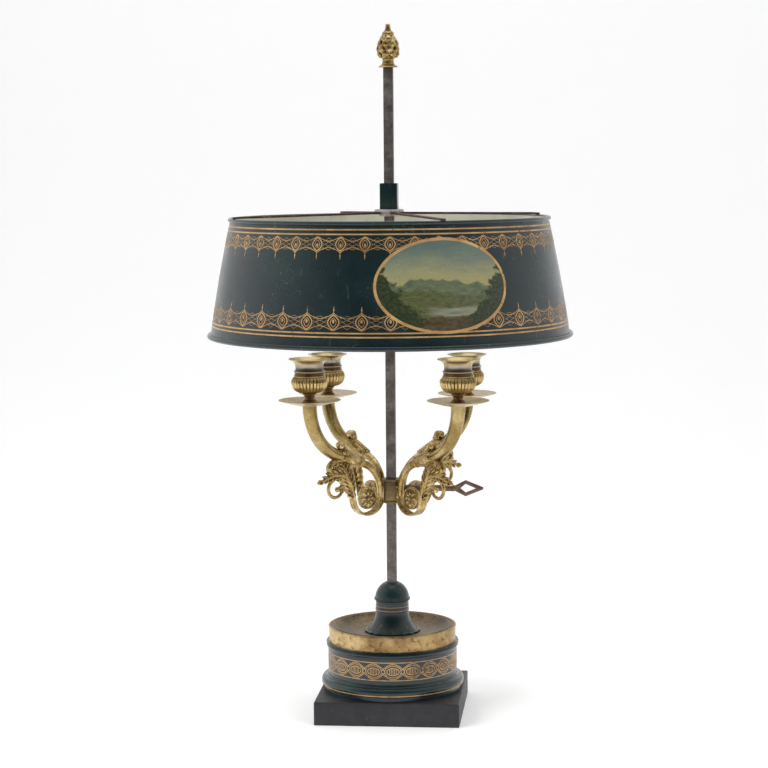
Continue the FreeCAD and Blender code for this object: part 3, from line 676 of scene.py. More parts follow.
def buildBase(s):
    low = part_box("foot_ring")[0].z / mm
    piece = nodeCopy("plinth", "plinth_block", 1.1, 3)
    dress(piece, "lamp", plinthBlack, ["plinth"], 40)
    inner = s["drumRadius"] - 1.3
    foot = latheMesh("foot_turned", traceOutline([
        (inner - 3, low), (s["footSeat"], low), (s["footSeat"], low + 4.2),
        (s["footRadius"] - 1.4, low + 5.4), (s["footRadius"], low + 9.0, s["footRadius"] - 2.2, low + 12.6),
        (s["drumRadius"] + 1.1, s["drumBottom"] - 1.6, s["drumRadius"] + 0.5, s["drumBottom"]),
        (inner, s["drumBottom"]), (inner, s["drumBottom"] + 4), (inner - 1.2, s["drumBottom"] + 4),
        (inner - 3, s["drumBottom"] - 3)], 12), s["segments"])
    dress(foot, "lamp", baseLacquer, ["foot_ring"])
    giltRing("foot_gilt_line", s["footRadius"] - 1.0, low + 6.2, 0.75)
    giltRing("gallery_gilt_lip", s["galleryRadius"] - 0.2, s["galleryTop"] - 0.6, 0.6)
    drum = latheMesh("drum_wall",
                     [(s["drumRadius"] - 1.2, s["drumBottom"]), (s["drumRadius"], s["drumBottom"]),
                      (s["drumRadius"], s["drumTop"]), (s["drumRadius"] - 1.2, s["drumTop"])],
                     s["segments"])
    dress(drum, "lamp", baseLacquer, ["base_drum"])
    bead = latheMesh("drum_bead_turned", traceOutline([
        (inner, s["drumTop"]), (s["drumRadius"], s["drumTop"]),
        (s["drumRadius"] + 1.6, s["drumTop"] + 1.6, s["beadRadius"] - 1.0, s["beadTop"] - 1.3),
        (s["beadRadius"], s["beadTop"] - 0.7), (s["beadRadius"] - 0.3, s["beadTop"]),
        (inner - 1.2, s["beadTop"]),
        (inner - 1.2, s["drumTop"] - 4), (inner, s["drumTop"] - 4)], 8), s["segments"])
    dress(bead, "lamp", baseLacquer, ["drum_bead"])
    wallIn = s["galleryRadius"] - 1.1
    gallery = latheMesh("gallery_band", traceOutline([
        (wallIn, s["beadTop"]), (s["galleryRadius"], s["beadTop"]),
        (s["galleryRadius"], s["galleryTop"] - 1.4),
        (s["galleryRadius"] + 0.7, s["galleryTop"] - 0.8, s["galleryRadius"], s["galleryTop"]),
        (wallIn, s["galleryTop"] - 0.2)], 8), s["segments"])
    dress(gallery, "lamp", galleryBrass, ["brass_gallery"])
    outer = wallIn - 0.1
    lipTop = s["galleryTop"] - 0.5
    lipInner = outer - 4.2
    floor = s["trayFloor"]
    dish = latheMesh("tray_dish", traceOutline([
        (outer, s["beadTop"]), (outer, lipTop), (outer - 0.8, lipTop + 0.4, outer - 1.6, lipTop),
        (lipInner + 0.8, lipTop - 0.5), (lipInner, lipTop + 0.3, lipInner - 0.9, lipTop - 0.4),
        (s["trayFloorRadius"] + 1.4, floor + 0.8, s["trayFloorRadius"], floor), (4.4, floor),
        (4.4, floor - 1.2),
        (s["trayFloorRadius"] + 0.6, floor - 1.2), (lipInner - 0.6, lipTop - 1.9),
        (outer - 1.2, lipTop - 1.9),
        (outer - 1.2, s["beadTop"])], 8), s["segments"])
    dress(dish, "lamp", trayBrass, ["tray"])


buildBase(baseSizes)
for node in ("base_spacer", "base_washer", "base_nut", "cup_screws", "shade_bottom_wire", "shade_top_wire",
             "sleeve_spring"):
    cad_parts[node].data.materials.clear()
    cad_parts[node].data.materials.append(plainSteel)
print("base made")


# gilt guilloche on the drum

guilloche = {"eyes": 21, "lowLine": 42.6, "highLine": 59.6, "lineWidth": 0.8, "ovalWidth": 0.7, "hatches": 5}


def buildGuilloche(g):
    radius = baseSizes["drumRadius"]
    pitch = 2 * math.pi * radius / g["eyes"]

    def onDrum(s, t, lift):
        turn = s / radius
        return ((radius + lift) * math.cos(turn), (radius + lift) * math.sin(turn), t)

    middle = (g["lowLine"] + g["highLine"]) / 2
    half = (g["highLine"] - g["lowLine"]) / 2
    strokes = [ovalStroke(0, middle, pitch * 0.31, half * 0.40, g["ovalWidth"] * 1.2),
               ovalStroke(0, middle, pitch * 0.42, half * 0.66, g["ovalWidth"])]
    outer = half * 0.86
    for side in (-1, 1):
        arc = []
        for i in range(17):
            t = i / 16
            s = (t - 0.5) * pitch * 1.16
            arc.append((s, middle + side * outer * math.cos(math.pi * (t - 0.5) * 0.92)))
        strokes.append((arc, g["ovalWidth"], False))
    for i in range(g["hatches"]):
        s = (i - (g["hatches"] - 1) / 2) * pitch * 0.085
        reach = half * 0.40 * math.sqrt(max(0.0, 1 - (s / (pitch * 0.31)) ** 2)) * 0.8
        strokes.append(([(s, middle - reach), (s, middle + reach)], g["ovalWidth"] * 0.8, False))
    motif = strokeRibbons("drum_guilloche", strokes, onDrum)
    repeatRound(motif, g["eyes"], patternStart, giltPaint)
    dress(motif, "lamp", giltPaint)
    steps = 180
    lines = []
    for height in (g["lowLine"], g["highLine"]):
        lines.append(([(2 * math.pi * radius * i / steps, height) for i in range(steps)], g["lineWidth"],
                      True))
    rings = strokeRibbons("drum_gilt_lines", lines, onDrum)
    dress(rings, "lamp", giltPaint)


buildGuilloche(guilloche)
print("guilloche made")


# bell-shaped boss

bossSizes = {"bottom": 77.4, "height": 47.5, "baseRadius": 25.0, "neck": 15.8, "ring": 17.1, "dome": 16.4,
             "top": 7.6,
             "ringHeight": 32.0, "scallops": 18, "segments": 144}


def buildBoss(b):
    low = b["bottom"]
    ring = low + b["ringHeight"]
    top = low + b["height"]
    outline = traceOutline([
        (4.05, low), (b["baseRadius"] + 2.0, low),
        (b["baseRadius"] + 2.2, low + 0.5, b["baseRadius"], low + 1.2),
        (b["neck"] + 2.6, low + 9.5, b["neck"] + 0.4, low + 22.5), (b["neck"], ring - 1.6),
        (b["ring"] + 0.5, ring, b["dome"], ring + 1.7), (b["dome"] - 2.4, top - 6.2, b["top"], top),
        (6.45, top), (6.45, top - 0.8), (4.6, top - 0.8)], 16)

    def scallop(turn, r, z, k):
        edge = max(0.0, 1 - (z - low) / 2.6)
        return -1.7 * edge * abs(math.sin(turn * b["scallops"] / 2)) if r > b["baseRadius"] - 4 else 0

    boss = latheMesh("boss_bell", outline, b["segments"] * 2, True, scallop)
    dress(boss, "lamp", baseLacquer, ["stem_boss"])

    giltRing("boss_gilt_bead", b["ring"] - 0.55, ring, 0.8)
    giltRing("boss_gilt_line_high", b["neck"] + 0.05, low + 25.2, 0.32)
    giltRing("boss_gilt_line_low", b["neck"] + 0.35, low + 21.5, 0.32)

    def edge(turn, r, z, k):
        return -1.7 * abs(math.sin(turn * b["scallops"] / 2))

    giltRing("boss_gilt_edge", b["baseRadius"] + 1.0, low + 1.1, 0.42, edge)


buildBoss(bossSizes)


# rod

def buildRod():
    rod = nodeCopy("stem_rod", "square_rod", 0.7, 3)
    dress(rod, "lamp", rodIron, ["stem_rod"], 40)


buildRod()


# finial

finialSizes = {"bottom": 619.0, "height": 41.0, "foot": 8.6, "bud": 9.6, "leavesPerRow": 7, "segments": 72,
               "rows": ((0.0, 0.28, 7.6, 8.5, 26), (0.5, 0.38, 8.2, 9.5, 14), (0.0, 0.50, 7.6, 9.5, 2),
                        (0.5, 0.62, 5.6, 8.5, -10), (0.0, 0.74, 3.4, 7.0, -16))}


def buildFinial(f):
    low = f["bottom"]

    def level(share):
        return low + share * f["height"]

    core = latheMesh("finial_core", traceOutline([
        (0, low), (f["foot"], low), (f["foot"] + 0.6, low + 0.7, f["foot"], low + 1.4),
        (6.0, level(0.08), 5.3, level(0.14)), (5.6, level(0.20)), (7.4, level(0.235), 7.0, level(0.27)),
        (f["bud"] - 0.9, level(0.42), 6.6, level(0.60)), (4.2, level(0.76), 2.6, level(0.90)),
        (2.4, level(0.95)),
        (2.2, level(0.985), 1.0, level(1.0) - 0.1), (0, level(1.0) - 0.1)], 8), f["segments"], False)
    leaves = []
    for shift, share, reach, length, lean in f["rows"]:
        leaf = lobeMesh("finial_leaf", (reach, 0, level(share)), 90 - lean, length, 3.0, 6.6, -1.2)
        rib = planarTube("finial_rib",
                         [(reach + 0.9, level(share) - length * 0.3), (reach + 1.5, level(share)),
                          (reach + 0.9 + lean * 0.06, level(share) + length * 0.5)],
                         [0.5, 0.6, 0.3], 8, 8)
        motif = joined("finial_leaf_motif", [leaf, rib])
        leaves.append(repeatRound(motif, f["leavesPerRow"], 360 * shift / f["leavesPerRow"], castBrass))
    whole = joined("finial_bud", [core] + leaves)
    remeshed(whole, 0.28, 1)
    dress(whole, "lamp", castBrass, ["finial"], 60)


buildFinial(finialSizes)
print("boss, rod and finial made")


# candelabra, drawn in the plane of one arm: u outwards from the rod, z up from the collar's lower face

armSizes = {"reach": 98.0, "sleeveEnd": (61.0, 50.5), "hornStart": 10.0, "hornRoot": 5.6, "hornTop": 6.75,
            "voluteU": 30.3, "voluteZ": 7.0, "voluteAcross": 17.0, "voluteUp": 15.4, "strapHalf": 4.4,
            "strap": 2.5,
            "rosette": 8.8, "petals": 8, "tendrilU": 68.6, "tendrilZ": 20.0, "tendrilRadius": 8.4,
            "wire": 1.4,
            "voxel": 0.40, "ridgeBeads": 10}
armRoutes = {
    "branch": ((13.2, 8.0), (14.0, 15.5), (16.6, 25.0), (23.8, 34.7), (34.7, 41.1), (48.0, 45.5)),
    "branchRadii": (3.4, 3.4, 3.5, 3.6, 3.8, 4.4, 5.4),
    "sleeve": ((38.5, 42.6), (44.0, 44.4), (52.0, 47.0)), "sleeveRadii": (4.3, 5.6, 7.0, 6.7),
    "sleeveEdge": ((38.0, 42.4), (39.6, 43.0)), "sleeveEdgeRadii": (5.1, 5.1),
    "loopStart": (12.6, 17.0), "loopEnd": ((48.8, 12.0), (50.8, 19.0), (53.6, 26.0)),
    "column": ((48.5, 9.0), (50.8, 17.0), (53.6, 25.0), (57.0, 33.0), (60.0, 42.0)),
    "columnWidths": (6.0, 10.0, 12.5, 11.0, 7.0),
    "spur": ((56.0, 29.5), (64.0, 33.0), (72.0, 33.0), (80.0, 30.0), (88.0, 27.2)),
    "spurWidths": (9.0, 10.0, 9.0, 6.0, 3.0), "spurEnd": (88.4, 0, 27.2),
    "arch": ((57.0, 46.0), (64.5, 47.0), (71.5, 45.4), (76.0, 40.6), (74.4, 35.6), (69.5, 33.0)),
    "archRadii": (2.4, 2.5, 2.5, 2.5, 2.3, 2.0),
    "archLeaf": ((60.0, 43.0), (66.0, 42.4), (71.0, 39.6)), "archLeafWidths": (5.0, 5.4, 3.6),
    "budStalk": ((55.4, 23.0), (60.6, 21.6)), "budStalkRadii": (2.2, 1.9, 1.6),
    "budLeaf": ((56.0, 21.0), (60.0, 18.6), (62.6, 15.4)), "budLeafWidths": (5.0, 4.6, 3.0),
    "ridge": ((33.0, 43.4), (44.0, 49.0), (54.0, 53.6), (59.0, 56.6)), "ridgeRadii": (1.6, 2.4, 2.6, 2.4),
    "sleeveLeaves": ((45, 45.6, 24, 14), (52, 49.0, 24, 14), (50, 44.6, 10, 14), (58, 47.4, 6, 12),
                     (57, 52.0, 26, 11)),
    "curl": (62.0, 0, 60.0), "smallCurl": (55.6, 0, 57.6),
    "curlRoll": ((56.6, 57.0), (59.6, 62.4), (64.6, 61.6), (63.6, 57.6)),
    "curlRollRadii": (1.5, 1.8, 1.6, 1.2),
}
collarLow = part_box("collar")[0].z / mm


def scrollStrap(name, points, half, thick):
    # channelled strip: a flat core with a bead along each edge
    core = planarTube(name, points, [thick / 2] * len(points), 72, 12, half * 2 / thick)
    pieces = [core]
    for side in (-1, 1):
        bead = planarTube(name + "_edge", points, [thick * 0.5] * len(points), 72, 10)
        bead.data.transform(Matrix.Translation((0, side * (half - thick * 0.3) * mm, 0)))
        pieces.append(bead)
    return pieces


def leafAlong(name, spine, widths, count, lean, thick):
    # carved leaf: a rib with pairs of lobes that lean forwards on both sides of it
    dense = splinePoints([(u, z, w) for (u, z), w in zip(spine, widths)], 60)
    pieces = [planarTube(name + "_rib", spine, [w * 0.30 for w in widths], 40, 12, 1.15)]
    for i in range(count):
        place = 60 * (i + 0.4) / count
        k = min(int(place), 58)
        u, z, width = dense[k]
        heading = math.degrees(math.atan2(dense[k + 1][1] - z, dense[k + 1][0] - u))
        for side in (-1, 1):
            away = math.radians(heading + side * 90)
            centre = (u + math.cos(away) * width * 0.30, 0, z + math.sin(away) * width * 0.30)
            pieces.append(lobeMesh(name + "_lobe", centre, heading + side * lean, width * 1.05, width * 0.46,
                                   thick))
            for face in (-1, 1):
                vein = (centre[0], face * thick * 0.38, centre[2])
                pieces.append(lobeMesh(name + "_vein", vein, heading + side * lean, width * 0.86,
                                       width * 0.16,
                                       thick * 0.34))
    return pieces


def buildCasting(a, r):
    cu, cz = a["voluteU"], a["voluteZ"]
    parts = []
    parts.append(planarTube("branch", [*r["branch"], a["sleeveEnd"]], r["branchRadii"], 44, 24))
    parts.append(planarTube("sleeve", [*r["sleeve"], a["sleeveEnd"]], r["sleeveRadii"], 16, 28))
    parts.append(planarTube("sleeve_edge", r["sleeveEdge"], r["sleeveEdgeRadii"], 4, 24))

    loop = [r["loopStart"]]
    for i in range(13):
        turn = math.radians(172 + 180 * i / 12)
        loop.append((cu + a["voluteAcross"] * math.cos(turn), cz + a["voluteUp"] * math.sin(turn)))
    loop += r["loopEnd"]
    parts += scrollStrap("loop", loop, a["strapHalf"], a["strap"])
    spiral = []
    for i in range(16):
        turn = math.radians(30 + 300 * i / 15)
        radius = a["rosette"] + 1.6 - 0.9 * i / 15
        spiral.append((cu + radius * math.cos(turn), cz + radius * math.sin(turn)))
    parts.append(planarTube("spiral", spiral, [1.0] * len(spiral), 50, 10, 2.6))
    parts.append(tubeMesh("rosette_disc", [(cu, -2.0, cz), (cu, 2.0, cz)], [a["rosette"] + 1.4] * 2, 40))
    for side in (-1, 1):
        parts.append(ballMesh("rosette_eye", (cu, side * 2.6, cz), 1.7))
        for i in range(a["petals"]):
            turn = 360 * i / a["petals"]
            spot = (cu + 4.9 * math.cos(math.radians(turn)), side * 2.1,
                    cz + 4.9 * math.sin(math.radians(turn)))
            parts.append(lobeMesh("petal", spot, turn, 6.0, 2.8, 2.4))

    parts += leafAlong("column", r["column"], r["columnWidths"], 7, 38, 6.4)
    parts += leafAlong("spur", r["spur"], r["spurWidths"], 6, 30, 6.0)
    parts.append(ballMesh("spur_end", r["spurEnd"], 1.7))
    parts.append(planarTube("arch", r["arch"], r["archRadii"], 30, 14, 1.4))
    parts += leafAlong("arch_leaf", r["archLeaf"], r["archLeafWidths"], 3, 34, 4.6)

    ring, steps = [], 24
    for i in range(steps):
        turn = math.radians(74 - 330 * i / (steps - 1))
        ring.append((a["tendrilU"] + a["tendrilRadius"] * math.cos(turn),
                     a["tendrilZ"] + a["tendrilRadius"] * math.sin(turn)))
    wires = [a["wire"] + 0.5 - 0.5 * i / (steps - 1) for i in range(steps)]
    parts.append(planarTube("tendril", ring, wires, 72, 12))
    budU, budZ = a["tendrilU"] - 2.2, a["tendrilZ"] - 1.0
    parts.append(planarTube("bud_stalk", [*r["budStalk"], (budU, budZ)], r["budStalkRadii"], 12, 12))
    parts.append(ballMesh("bud", (budU, 0, budZ), 2.6))
    parts += leafAlong("bud_leaf", r["budLeaf"], r["budLeafWidths"], 2, 30, 4.4)

    for i in range(a["ridgeBeads"]):
        t = i / (a["ridgeBeads"] - 1)
        parts.append(ballMesh("ridge_bead", (35.0 + 23.0 * t, 0, 46.2 + 10.8 * t), 1.35, (1, 1.9, 1)))
    parts.append(planarTube("ridge", r["ridge"], r["ridgeRadii"], 16, 12))
    for side in (-1, 1):
        for u, z, heading, length in r["sleeveLeaves"]:
            parts.append(lobeMesh("sleeve_leaf", (u, side * 5.2, z), heading, length, 4.6, 3.2))
    parts.append(ballMesh("curl", r["curl"], 3.5, (1, 1.3, 1)))
    parts.append(planarTube("curl_roll", r["curlRoll"], r["curlRollRadii"], 14, 10, 2.4))
    parts.append(ballMesh("curl_small", r["smallCurl"], 1.9, (1, 1.5, 1)))
    return remeshed(joined("arm_casting", parts), a["voxel"], 2)


def buildHorn(a, name, rise):
    # quarter ellipse from the sleeve's end to the pan
    low = math.radians(a["hornStart"])
    points, radii = [], []
    steps = 12
    for i in range(steps + 1):
        turn = low + (math.pi / 2 - low) * i / steps
        along = (math.sin(turn) - math.sin(low)) / (1 - math.sin(low))
        up = (math.cos(low) - math.cos(turn)) / math.cos(low)
        points.append((a["sleeveEnd"][0] + (a["reach"] - a["sleeveEnd"][0]) * along,
                       a["sleeveEnd"][1] + (rise - a["sleeveEnd"][1]) * up))
        radii.append(a["hornRoot"] + (a["hornTop"] - a["hornRoot"]) * i / steps)
    return planarTube(name, points, radii, 60, 32)


def buildArms(a):
    casting = buildCasting(a, armRoutes)
    for place, angle in places.items():
        arm = placeCopy(casting, "arm_cast_" + place, angle, collarLow)
        dress(arm, "candelabra", castBrass, ["arm_" + place], 50)
        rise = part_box("drip_pan_" + place)[0].z / mm - collarLow
        pattern = buildHorn(a, "horn", rise)
        horn = placeCopy(pattern, "horn_smooth_" + place, angle, collarLow)
        bpy.data.objects.remove(pattern)
        dress(horn, "candelabra", hornBrass, ["horn_" + place])
    bpy.data.objects.remove(casting)


buildArms(armSizes)
print("arms made")


panSizes = {"radius": 29.0, "rise": 5.2, "edge": 0.6, "centre": 3.9, "seat": 7.95, "hole": 2.55, "foot": 9.0,
            "segments": 96}


def buildPans(p):
    top = p["rise"] + p["edge"]
    disc = latheMesh("pan", traceOutline([
        (p["hole"], 0), (p["seat"], 0), (p["radius"] * 0.62, p["rise"] * 0.42, p["radius"] - 0.3, p["rise"]),
        (p["radius"] + 0.1, p["rise"] + p["edge"] / 2, p["radius"] - 0.4, top),
        (p["radius"] * 0.7, p["centre"] + 0.3, p["foot"], p["centre"]), (p["hole"], p["centre"])], 12),
        p["segments"])
    for place, angle in places.items():
        copy = placeCopy(disc, "pan_disc_" + place, angle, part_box("drip_pan_" + place)[0].z / mm,
                         armSizes["reach"])
        dress(copy, "candelabra", panBrass, ["drip_pan_" + place])
    bpy.data.objects.remove(disc)


buildPans(panSizes)

nozzleSizes = {"height": 40.5, "rim": 19.2, "neck": 12.9, "band": 13.8, "bulb": 16.2, "stem": 5.2,
               "foot": 7.0,
               "stemHeight": 7.6, "bulbHeight": 15.2, "bandHeight": 4.8, "bore": 11.0, "depth": 26.5,
               "seat": 4.7,
               "hole": 2.55, "gadroons": 30, "gadroonDepth": 1.5, "segments": 240}


def buildNozzles(n):
    low = n["stemHeight"] + 1.0
    high = low + n["bulbHeight"]
    band = high + n["bandHeight"]
    top = n["height"]
    floor = top - n["depth"]
    outline = traceOutline([
        (n["hole"], 0), (n["foot"], 0), (n["foot"] + 0.1, 0.6, n["foot"] - 0.3, 1.2),
        (n["stem"] - 0.4, 3.4, n["stem"] + 0.5, n["stemHeight"] - 1.0),
        (n["stem"] + 1.5, n["stemHeight"] - 0.3, n["stem"] + 0.8, n["stemHeight"] + 0.4),
        (n["stem"] + 2.0, low),
        (n["bulb"] * 0.90, low + n["bulbHeight"] * 0.24, n["bulb"] - 0.1, low + n["bulbHeight"] * 0.52),
        (n["bulb"] * 0.975, low + n["bulbHeight"] * 0.86, n["band"] + 0.3, high - 0.2),
        (n["band"] + 0.9, high + 0.4, n["band"], high + 0.9), (n["band"] - 0.1, band - 0.8),
        (n["band"] + 0.6, band - 0.3, n["neck"] + 0.2, band + 0.5), (n["neck"], band + 3.2),
        (n["neck"] + 1.4, top - 3.6, n["rim"] - 0.4, top - 0.9),
        (n["rim"] + 0.1, top - 0.5, n["rim"] - 0.4, top),
        (n["rim"] - 1.8, top), (n["bore"] + 1.5, top - 4.2, n["bore"], top - 8.1), (n["bore"], floor),
        (n["seat"], floor), (n["seat"], floor - 2.7), (n["hole"], floor - 2.7)], 12)

    def relief(turn, r, z, k):
        # gadroons on the bulb, small squares on the band above it
        if z > top - 9 and r < n["bore"] + 3 or r < n["stem"] + 1.4 or k > 12 * 11:
            return 0
        if low < z < high - 0.4:
            fade = math.sin(math.pi * (z - low) / (high - low)) ** 0.5
            return (abs(math.cos(turn * n["gadroons"] / 2)) ** 0.75 - 0.62) * n["gadroonDepth"] * fade
        if high + 1.2 < z < band - 1.0 and r > n["bore"] + 1:
            return 0.22 * (1 if math.sin(turn * 36) > 0 else -1)
        return 0

    cup = latheMesh("nozzle", outline, n["segments"], True, relief)
    level = cup.data.attributes.new("level", "FLOAT", "POINT")
    for i, vertex in enumerate(cup.data.vertices):
        level.data[i].value = vertex.co.z / (top * mm)
    for place, angle in places.items():
        copy = placeCopy(cup, "nozzle_cup_" + place, angle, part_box("nozzle_" + place)[0].z / mm,
                         armSizes["reach"])
        dress(copy, "candelabra", nozzleBrass, ["nozzle_" + place], 60)
    bpy.data.objects.remove(cup)


buildNozzles(nozzleSizes)
print("pans and nozzles made")


def buildCollar():
    collar = nodeCopy("collar", "collar_block", 0.35, 2)
    dress(collar, "candelabra", collarBronze, ["collar"], 40)
    thumb = nodeCopy("thumb_screw", "thumb_key", 0.6, 3)
    dress(thumb, "thumb_screw", thumbIron, ["thumb_screw"], 40)


buildCollar()


# shade

shadeSizes = {"bottom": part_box("shade_bottom_roll")[0].z / mm, "top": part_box("shade_top_roll")[1].z / mm,
              "bottomRadius": 174.8, "topRadius": 153.6, "sheet": 1.0, "belly": 1.2, "lowRoll": 2.3,
              "highRoll": 1.8,
              "lap": 0.3, "meanRadius": 164.0, "segments": 256, "steps": 40}


def shadeRadius(z):
    # outer face of the wall between the centres of its two rolls
    s = shadeSizes
    low, high = s["bottom"] + s["lowRoll"], s["top"] - s["highRoll"]
    lowRadius = s["bottomRadius"] - 2 * s["lowRoll"] + s["lap"] + s["sheet"]
    highRadius = s["topRadius"] - 2 * s["highRoll"] + s["lap"] + s["sheet"]
    t = (z - low) / (high - low)
    return lowRadius + (highRadius - lowRadius) * t + s["belly"] * 4 * t * (1 - t)


def buildShade(s):
    low, high = s["bottom"] + s["lowRoll"], s["top"] - s["highRoll"]
    first, last = low + s["lowRoll"] * 0.8, high - s["highRoll"] * 0.95
    heights = [first + (last - first) * i / s["steps"] for i in range(s["steps"] + 1)]
    lowCentre = s["bottomRadius"] - s["lowRoll"]
    highCentre = s["topRadius"] - s["highRoll"]
    outline = [(shadeRadius(z), z) for z in heights]
    # the sheet rolls outwards over its wire at both edges
    for i in range(19):
        turn = math.radians(-75 + 255 * i / 18)
        outline.append((highCentre + s["highRoll"] * math.cos(turn), high + s["highRoll"] * math.sin(turn)))
    outline += [(shadeRadius(z) - s["sheet"], z) for z in reversed(heights[1:-1])]
    for i in range(19):
        turn = math.radians(180 + 245 * i / 18)
        outline.append((lowCentre + s["lowRoll"] * math.cos(turn), low + s["lowRoll"] * math.sin(turn)))
    wall = latheMesh("shade_cone", outline, s["segments"])
    for polygon in wall.data.polygons:
        spot = polygon.center
        radial = Vector((spot.x, spot.y, 0)).normalized()
        inside = polygon.normal.dot(radial) < -0.25 and (low + 2) * mm < spot.z < (high - 1) * mm
        polygon.material_index = 1 if inside else 0
    dress(wall, "shade", [shadeLacquer, shadeInside],
          ["shade_wall", "shade_bottom_roll", "shade_top_roll"])


buildShade(shadeSizes)


def onShade(s, t, lift):
    # s runs along the wall in mm at the shade's mean radius
    turn = s / shadeSizes["meanRadius"]
    radius = shadeRadius(t) + lift
    return (radius * math.cos(turn), radius * math.sin(turn), t)


borders = {"topCount": 44, "bottomCount": 41, "topLines": (471.1, 467.0), "bottomLines": (380.4, 376.9),
           "chainTop": 465.4, "chainBottom": 452.8, "pendantEnd": 445.2, "lowChainBottom": 382.0,
           "lowChainTop": 396.0,
           "lowPendantEnd": 403.6, "line": 1.0, "thin": 0.52, "lattice": 0.24, "ring": 1.3}

medallion = {"azimuth": -67.3, "height": 421.5, "halfWidth": 63.0, "halfHeight": 41.0, "frame": 2.6,
             "clear": 1.03}


def borderMotif(name, pitch, nearLine, farEdge, pendantEnd, look):
    # a pointed loop hanging from the line, a fine lattice beside it, a scalloped edge and a small drop
    toward = 1 if pendantEnd > nearLine else -1
    depth = abs(farEdge - nearLine)
    line, thin = look["line"], look["thin"]

    def halfPitchLine(rule):
        # from the loop's middle to halfway to the next loop
        steps = 9
        points = []
        for i in range(steps + 1):
            t = 0.5 * i / steps
            points.append((side * (t * pitch), nearLine + toward * depth * rule(t)))
        return points

    strokes = []
    for side in (-1, 1):
        # vesica in a double line, drawn as two arcs that meet at the ends
        for wide, low, high, width in ((0.205, 0.10, 1.02, line), (0.105, 0.27, 0.84, thin)):
            arc = []
            for i in range(13):
                t = i / 12
                arc.append((side * pitch * wide * math.sin(math.pi * t) ** 0.8,
                            nearLine + toward * depth * (low + (high - low) * t)))
            strokes.append((arc, width, False))
        strokes.append((halfPitchLine(lambda t: 0.04 + 0.30 * math.sin(math.pi * t) ** 1.2), thin, False))
        strokes.append((halfPitchLine(lambda t: 1.16 - 0.36 * math.sin(math.pi * t) ** 0.8), thin, False))
        for step in (0.0, 0.34, 0.68):
            rise = [(side * pitch * 0.24, nearLine + toward * depth * (0.24 + step * 0.8)),
                    (side * pitch * 0.5, nearLine + toward * depth * (0.0 + step * 0.8 + 0.42))]
            fall = [(side * pitch * 0.24, nearLine + toward * depth * (0.42 + step * 0.8)),
                    (side * pitch * 0.5, nearLine + toward * depth * (0.12 + step * 0.8))]
            strokes += [(rise, look["lattice"], False), (fall, look["lattice"], False)]
    strokes.append(ovalStroke(0, nearLine + toward * depth * 0.62, pitch * 0.022, depth * 0.09, line * 0.9,
                              10))
    drop = abs(pendantEnd - farEdge)
    strokes.append(([(0, farEdge), (0, pendantEnd)], thin, False))
    strokes.append(ovalStroke(0, farEdge + toward * drop * 0.62, pitch * 0.014, drop * 0.12, thin, 10))
    return strokeRibbons(name, strokes, onShade)


def outsideOval(piece, m):
    # the borders stop at the oval picture
    work = bmesh.new()
    work.from_mesh(piece.data)
    gone = []
    centre = math.radians(m["azimuth"])
    for face in work.faces:
        spot = face.calc_center_median()
        turn = (math.atan2(spot.y, spot.x) - centre + math.pi) % (2 * math.pi) - math.pi
        across = turn * shadeSizes["meanRadius"] / m["halfWidth"]
        along = (spot.z / mm - m["height"]) / m["halfHeight"]
        if across * across + along * along < m["clear"]:
            gone.append(face)
    bmesh.ops.delete(work, geom=gone, context="FACES")
    work.to_mesh(piece.data)
    work.free()


def buildBorders(b):
    around = 2 * math.pi * shadeSizes["meanRadius"]
    top = borderMotif("shade_top_border", around / b["topCount"], b["chainTop"], b["chainBottom"],
                      b["pendantEnd"], b)
    repeatRound(top, b["topCount"], patternStart, giltPaint)
    bottom = borderMotif("shade_bottom_border", around / b["bottomCount"], b["lowChainBottom"],
                         b["lowChainTop"],
                         b["lowPendantEnd"], b)
    repeatRound(bottom, b["bottomCount"], patternStart, giltPaint)
    steps = 240
    lines = []
    for height in b["topLines"] + b["bottomLines"]:
        lines.append(([(around * i / steps, height) for i in range(steps)], b["ring"], True))
    rings = strokeRibbons("shade_gilt_lines", lines, onShade)
    for piece in (top, bottom, rings):
        outsideOval(piece, medallion)
        dress(piece, "shade", giltPaint)
    m = medallion
    centre = math.radians(m["azimuth"]) * shadeSizes["meanRadius"]
    outline = ovalStroke(centre, m["height"], m["halfWidth"], m["halfHeight"], m["frame"], 120)
    oval = strokeRibbons("shade_oval_frame", [outline], onShade, 0.12)
    dress(oval, "shade", giltPaint)


buildBorders(borders)
print("borders made")


